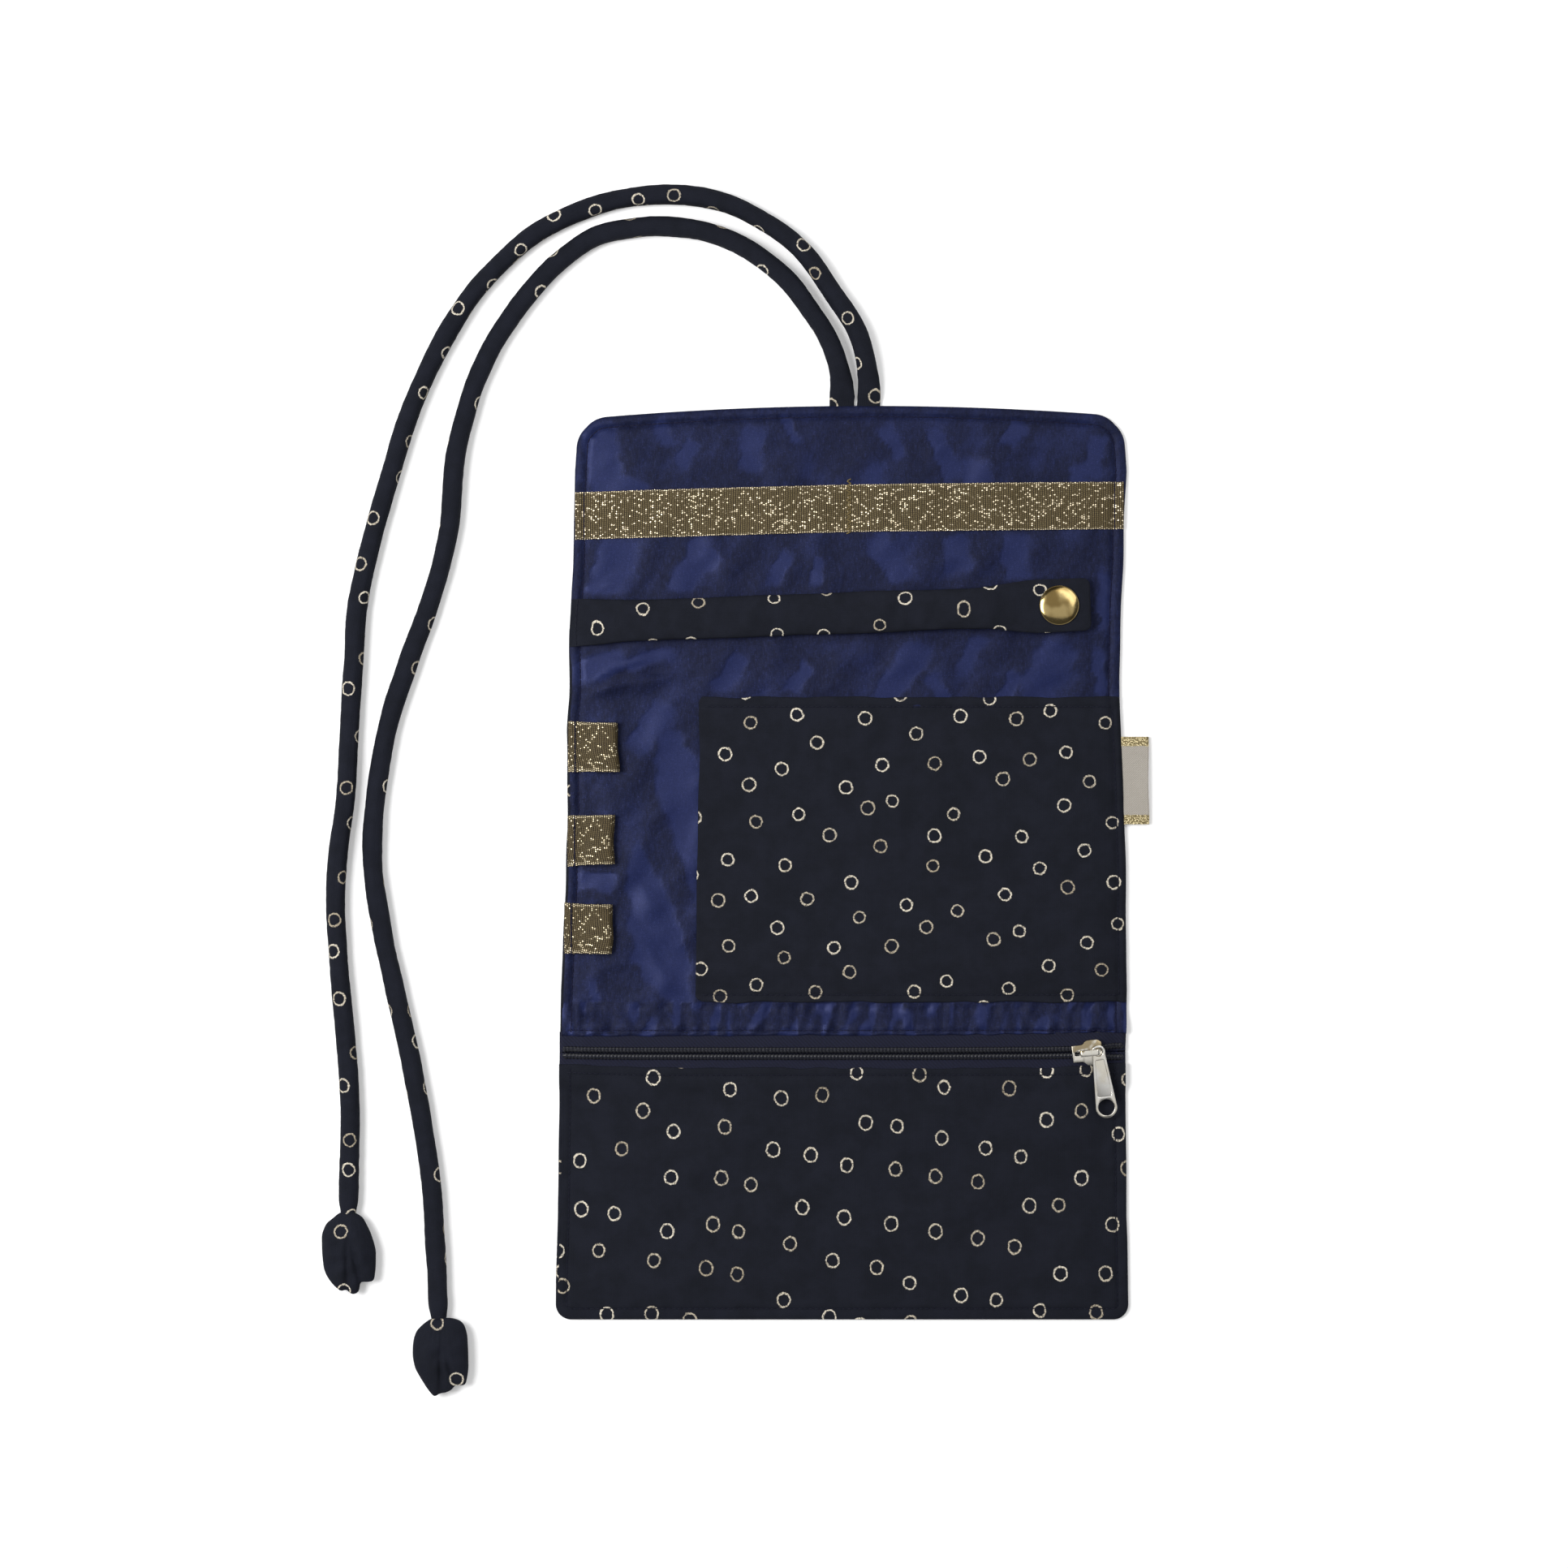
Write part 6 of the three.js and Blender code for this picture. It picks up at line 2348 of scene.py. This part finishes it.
@dataclass(frozen=True)
class Ties:
    """The two cloth cords sewn in the flap's top seam, each ending in a bud."""

    wide: float = 6.2
    flatter: float = 0.5
    middle: float = 3.1
    pressed_drop: float = 1.4
    sewn_drop: float = 0.75
    neck: float = 0.22
    step: float = 1.4
    sides: int = 26
    outer_route: tuple[tuple[float, float], ...] = (
        (8, 140.3), (8, 149.2), (4.8, 164.2), (-3.6, 177.6), (-10.6, 187.8), (-20.1, 196.6), (-35.8, 205.1),
        (-51.2, 208.2), (-66.7, 207.6), (-82.1, 203.6), (-97.6, 195.9), (-112.5, 182.7), (-123.9, 167.3),
        (-132.1, 151.8), (-137.8, 138.4), (-143.2, 120.9), (-149.1, 100.3), (-153.7, 79.7), (-155.3, 59.1),
        (-156.6, 38.5), (-157.8, 16.6), (-160.4, -2.7), (-160.9, -18.1), (-159.7, -38.7), (-157.6, -60.6),
        (-156.3, -82.5), (-156.6, -100.5), (-156.9, -114.7),
    )
    inner_route: tuple[tuple[float, float], ...] = (
        (-0.5, 140.3), (-0.5, 149.2), (-3.8, 160.6), (-9.8, 170.8), (-16.8, 180.2), (-25.9, 188.2),
        (-37.1, 194.4), (-51.2, 197.9), (-65.4, 197.9), (-79.6, 194.6), (-92.4, 185), (-103.3, 172.4),
        (-113, 157), (-119, 141.5), (-122.8, 126.1), (-125.4, 100.3), (-130.8, 79.7), (-138.3, 59.1),
        (-144.7, 38.5), (-148.3, 16.6), (-149.3, -2.7), (-146.5, -23.3), (-142.1, -43.9), (-137.5, -64.5),
        (-133.6, -85.1), (-130.6, -105.7), (-129.3, -126.3), (-128.2, -147.7),
    )
    outer_bud: Bud = Bud(
        (-157.2, -114.7),
        (
            (-2.4, 0.6), (-3.6, -0.6), (-6.6, -2.9), (-8.0, -6.3), (-7.9, -12.1), (-7.4, -17.1),
            (-6.4, -19.7), (-4.6, -22.2), (-1.9, -24.7), (-0.1, -23.6), (0.7, -25.0), (1.9, -25.6),
            (3.8, -24.8), (4.2, -21.3), (6.5, -21.6), (8.6, -21.2), (9.1, -17.1), (9.2, -11.8), (8.7, -9.5),
            (7.4, -5.6), (5.0, -0.9), (2.4, 0.6),
        ),
        ((-0.1, -23.6), (4.2, -21.3)), (0.4, -12.5),
    )
    inner_bud: Bud = Bud(
        (-127.6, -148.3),
        (
            (-3.0, 0.6), (-5.5, -1.2), (-7.6, -3.3), (-8.5, -5.8), (-8.8, -8.6), (-8.8, -11.6),
            (-8.1, -15.1), (-6.2, -18.5), (-4.1, -21.8), (-1.9, -24.5), (0, -22.9), (1.2, -23.2),
            (3.8, -22.0), (4.4, -20.6), (7.9, -20.7), (8.5, -18.1), (8.9, -15.5), (8.8, -10.0), (8.5, -4.4),
            (7.5, -1.2), (5.8, 0.2), (3.0, 0.8),
        ),
        ((0, -22.9), (4.4, -20.6)), (0.2, -11.5),
    )

    def tie(self, name: str, route: Sequence[tuple[float, float]], flare: float, seed: int) -> tuple:
        """One tie's tube.

        Args:
            name: the CAD node that it replaces.
            route: its route over the table.
            flare: its width where the seam holds it flat.
            seed: which tie it is.

        Returns:
            The piece, and its route in metres.
        """
        level = rounded_path([(x, y, self.middle) for x, y in route], self.step)
        run = np.linspace(0, self.step * (len(level) - 1), len(level))
        left = run[-1] - run
        press, sewn = 1 - smooth((run - 2.4) / 13), 1 - smooth((run - 1.4) / 4)
        wide = self.wide + (flare - self.wide) * press + 0.1 * Ripples(40, seed=130 + seed, count=14).at(run)
        high = (self.wide - self.flatter) * (1 - 0.66 * press - 0.2 * sewn)
        path = level.copy()
        path[:, 2] = self.middle - self.pressed_drop * press - self.sewn_drop * sewn
        neck = 1 - self.neck * ridge(left, 2.6)
        places = tube(path, wide * neck, high * neck, self.sides, 0.93)
        # Shallow dents, a seam that winds slowly round the tube, and small folds
        angle, run, left = np.linspace(0, math.tau, self.sides + 1)[None], run[:, None], left[:, None]
        twist = angle + 0.9 * np.sin(run / 95)
        dent = 0.018 * Ripples(17, seed=133 + seed, count=20).at(run + 5 * np.sin(twist), 6 * np.cos(twist))
        folds = Ripples(5, seed=136 + seed, count=20).at(run * 1.6 + 1.5 * np.sin(angle), 3 * np.cos(angle))
        seam = 0.075 * ridge(np.mod(twist + 0.15 - math.pi / 3 + math.pi, math.tau) - math.pi, 0.16)
        places = scaled(places, path, 1 + (dent + 0.009 * folds) * smooth(left / 6) - seam)
        girth = lengths(places, 1)
        uv = np.stack([girth, np.broadcast_to(run, girth.shape)], axis=2)
        finish = PRINT.material(f"{name}_tie", (5.5 * seed, 3 * seed), by_uv=True)
        made = piece(f"{name}_cloth", joined([grid_mesh(places, uv=uv)]), finish, 70)
        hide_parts(name)
        ride("flap", made)
        return made, level * MM

    def bud(self, name: str, bud: Bud, seed: int) -> bpy.types.Object:
        """One bud: a gathered pillow with soft valleys from its notches to its neck.

        Args:
            name: the CAD node that it replaces.
            bud: its outline.
            seed: which bud it is.

        Returns:
            The piece.
        """
        outline = np.array([*bud.outline, bud.outline[0]])
        ring = even(outline, travelled(outline)[-1] / bud.around)[:-1]
        for _ in range(2):
            ring = 0.5 * ring + 0.25 * (np.roll(ring, 1, axis=0) + np.roll(ring, -1, axis=0))
        outline, centre = np.vstack([ring, ring[:1]]), np.array(bud.centre)
        share = np.sin(np.linspace(0, math.pi / 2, bud.rings))[:, None]
        flat = centre + (outline - centre)[None] * share[:, :, None]
        x, y = flat[:, :, 0], flat[:, :, 1]
        swell = np.sqrt(np.maximum(1 - share**2.6, 0))
        along = np.clip(-y / bud.long, 0, 1)
        body = 0.62 + 0.38 * np.sin(math.pi * np.clip(along * 1.05 + 0.12, 0, 1))
        depth = smooth(along * 2.2) * (0.35 + 0.65 * smooth(along * 1.4 - 0.2))
        valley = np.zeros_like(along)
        for notch_x, notch_y in bud.valleys:
            reach = along / (-notch_y / bud.long)
            valley += ridge(x - (notch_x * reach**1.3 + 0.3), 0.85) * depth
        gathers = np.cos(x * 2.6 / (0.45 + along) + seed) * (1 - smooth(along / 0.42))
        puff = 0.3 * Ripples(7, seed=140 + seed, count=20).at(x, y) * swell
        half = bud.high / 2
        top = half + half * swell * body * (1 - 0.34 * valley) + (0.28 * gathers + puff) * swell
        low = half - (half - 0.1) * swell * (0.9 + 0.1 * body) * (1 - 0.1 * valley)
        over, under = (np.stack([x + bud.neck[0], y + bud.neck[1], height], axis=2) for height in (top, low))
        mesh = joined([plan_mesh(over[::-1]), grid_mesh(under, uv=-under[:, :, :2])])
        made = piece(f"{name}_cloth", mesh, PRINT.material(name, (7.9 * seed - 3.9, seed), by_uv=True), 75)
        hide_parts(name)
        ride("flap", made)
        return made

    def build(self) -> None:
        """Makes the ties and their buds."""
        for name, route, bud, flare, seed in (
            ("tie_outer", self.outer_route, self.outer_bud, 7.3, 0),
            ("tie_inner", self.inner_route, self.inner_bud, 8.0, 1),
        ):
            cap = self.bud(f"{name}_bud", bud, seed)
            made, path = self.tie(name, route, flare, seed)
            self.wide * MM


# The studio


@dataclass(frozen=True)
class Studio:
    """A white table under soft daylight lamps, and the camera straight above."""

    place: tuple[float, float, float] = (-0.0188, 0.0215, 1.1767)
    lens: float = 85.0

    def camera(self) -> None:
        """Makes the camera, which looks straight down with the flap at the top."""
        data = bpy.data.cameras.new("camera")
        data.sensor_width, data.lens = 36.0, self.lens
        data.clip_start, data.clip_end = 0.01, 50
        made = placed("camera", data)
        made.location = self.place
        bpy.context.scene.camera = made

    def lamp(self, name: str, place: Sequence[float], size: float, power: float) -> None:
        """Hangs a square white softbox that faces the pouch.

        Args:
            name: its name.
            place: where it hangs, in metres.
            size: its side, in metres.
            power: its power, in watts.
        """
        data = bpy.data.lights.new(name, "AREA")
        data.shape, data.size, data.energy = "SQUARE", size, power
        aim = (-Vector(place)).to_track_quat("-Z", "Y")
        placed(name, data).matrix_world = Matrix.Translation(place) @ aim.to_matrix().to_4x4()

    def light(self) -> None:
        """Sets the lamps, the world and the colour view."""
        world = bpy.data.worlds.new("soft_room")
        bpy.context.scene.world = world
        tree = emptied(world)
        _, toward, rise = split(signal(tree, "TexCoord", "Generated"))
        walls = rise.ramp(0.3, 0.6, 0.6, 0.1)
        window = rise.ramp(0.84, 0.9, 0, 0.85) * toward.ramp(-0.33, -0.22)
        camera = signal(tree, "LightPath", "Is Camera Ray")
        strength = walls.maths("MAXIMUM", window).maths("MAXIMUM", camera)
        node(tree, "OutputWorld", {0: signal(tree, "Background", 0, {0: linear("ffffff"), 1: strength})})
        self.lamp("key", (-0.62, 0.1, 0.85), 0.5, 11.5)
        self.lamp("fill", (0.5, 0.55, 0.9), 0.7, 4.0)
        bpy.context.scene.view_settings.view_transform = "Standard"

    def floor(self) -> None:
        """Makes the white table, which keeps the pouch's shadow."""
        shape = bmesh.new()
        bmesh.ops.create_grid(shape, x_segments=4, y_segments=4, size=3.0)
        bmesh.ops.translate(shape, verts=shape.verts, vec=(0, 0, -0.0001))
        material = bpy.data.materials.new("white_table")
        tree = emptied(material)
        camera, glossy = (signal(tree, "LightPath", f"Is {ray} Ray") for ray in ("Camera", "Glossy"))
        seen = camera.maths("MAXIMUM", glossy)
        matt = signal(tree, "BsdfDiffuse", 0, {0: linear("eeeeee")})
        glow = signal(tree, "Emission", 0, {0: linear("ffffff"), 1: seen * 0.2})
        node(tree, "OutputMaterial", {0: signal(tree, "AddShader", 0, {0: matt, 1: glow})})
        mesh = to_mesh(shape)
        mesh.materials.append(material)
        placed("table", mesh)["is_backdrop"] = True


def main() -> None:
    """Builds the studio and every sub-assembly in order."""
    logging.basicConfig(level=logging.INFO, format="%(message)s")
    studio = Studio()
    studio.camera()
    for assembly in (
        Ties(), OuterCloth(), Wadding(), LiningCloth(), RibbonBand(), RingStrap(), PatchPocket(),
        ChainLoops(), SideLabel(), ZipPocket(), ZipSlider(),
    ):
        assembly.build()
    studio.light()
    studio.floor()
    boxes = {"cad": CAD_BOX, "visual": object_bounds()}
    boxes = {name: [list(map(float, corner)) for corner in box] for name, box in boxes.items()}


if __name__ == "__main__":
    main()
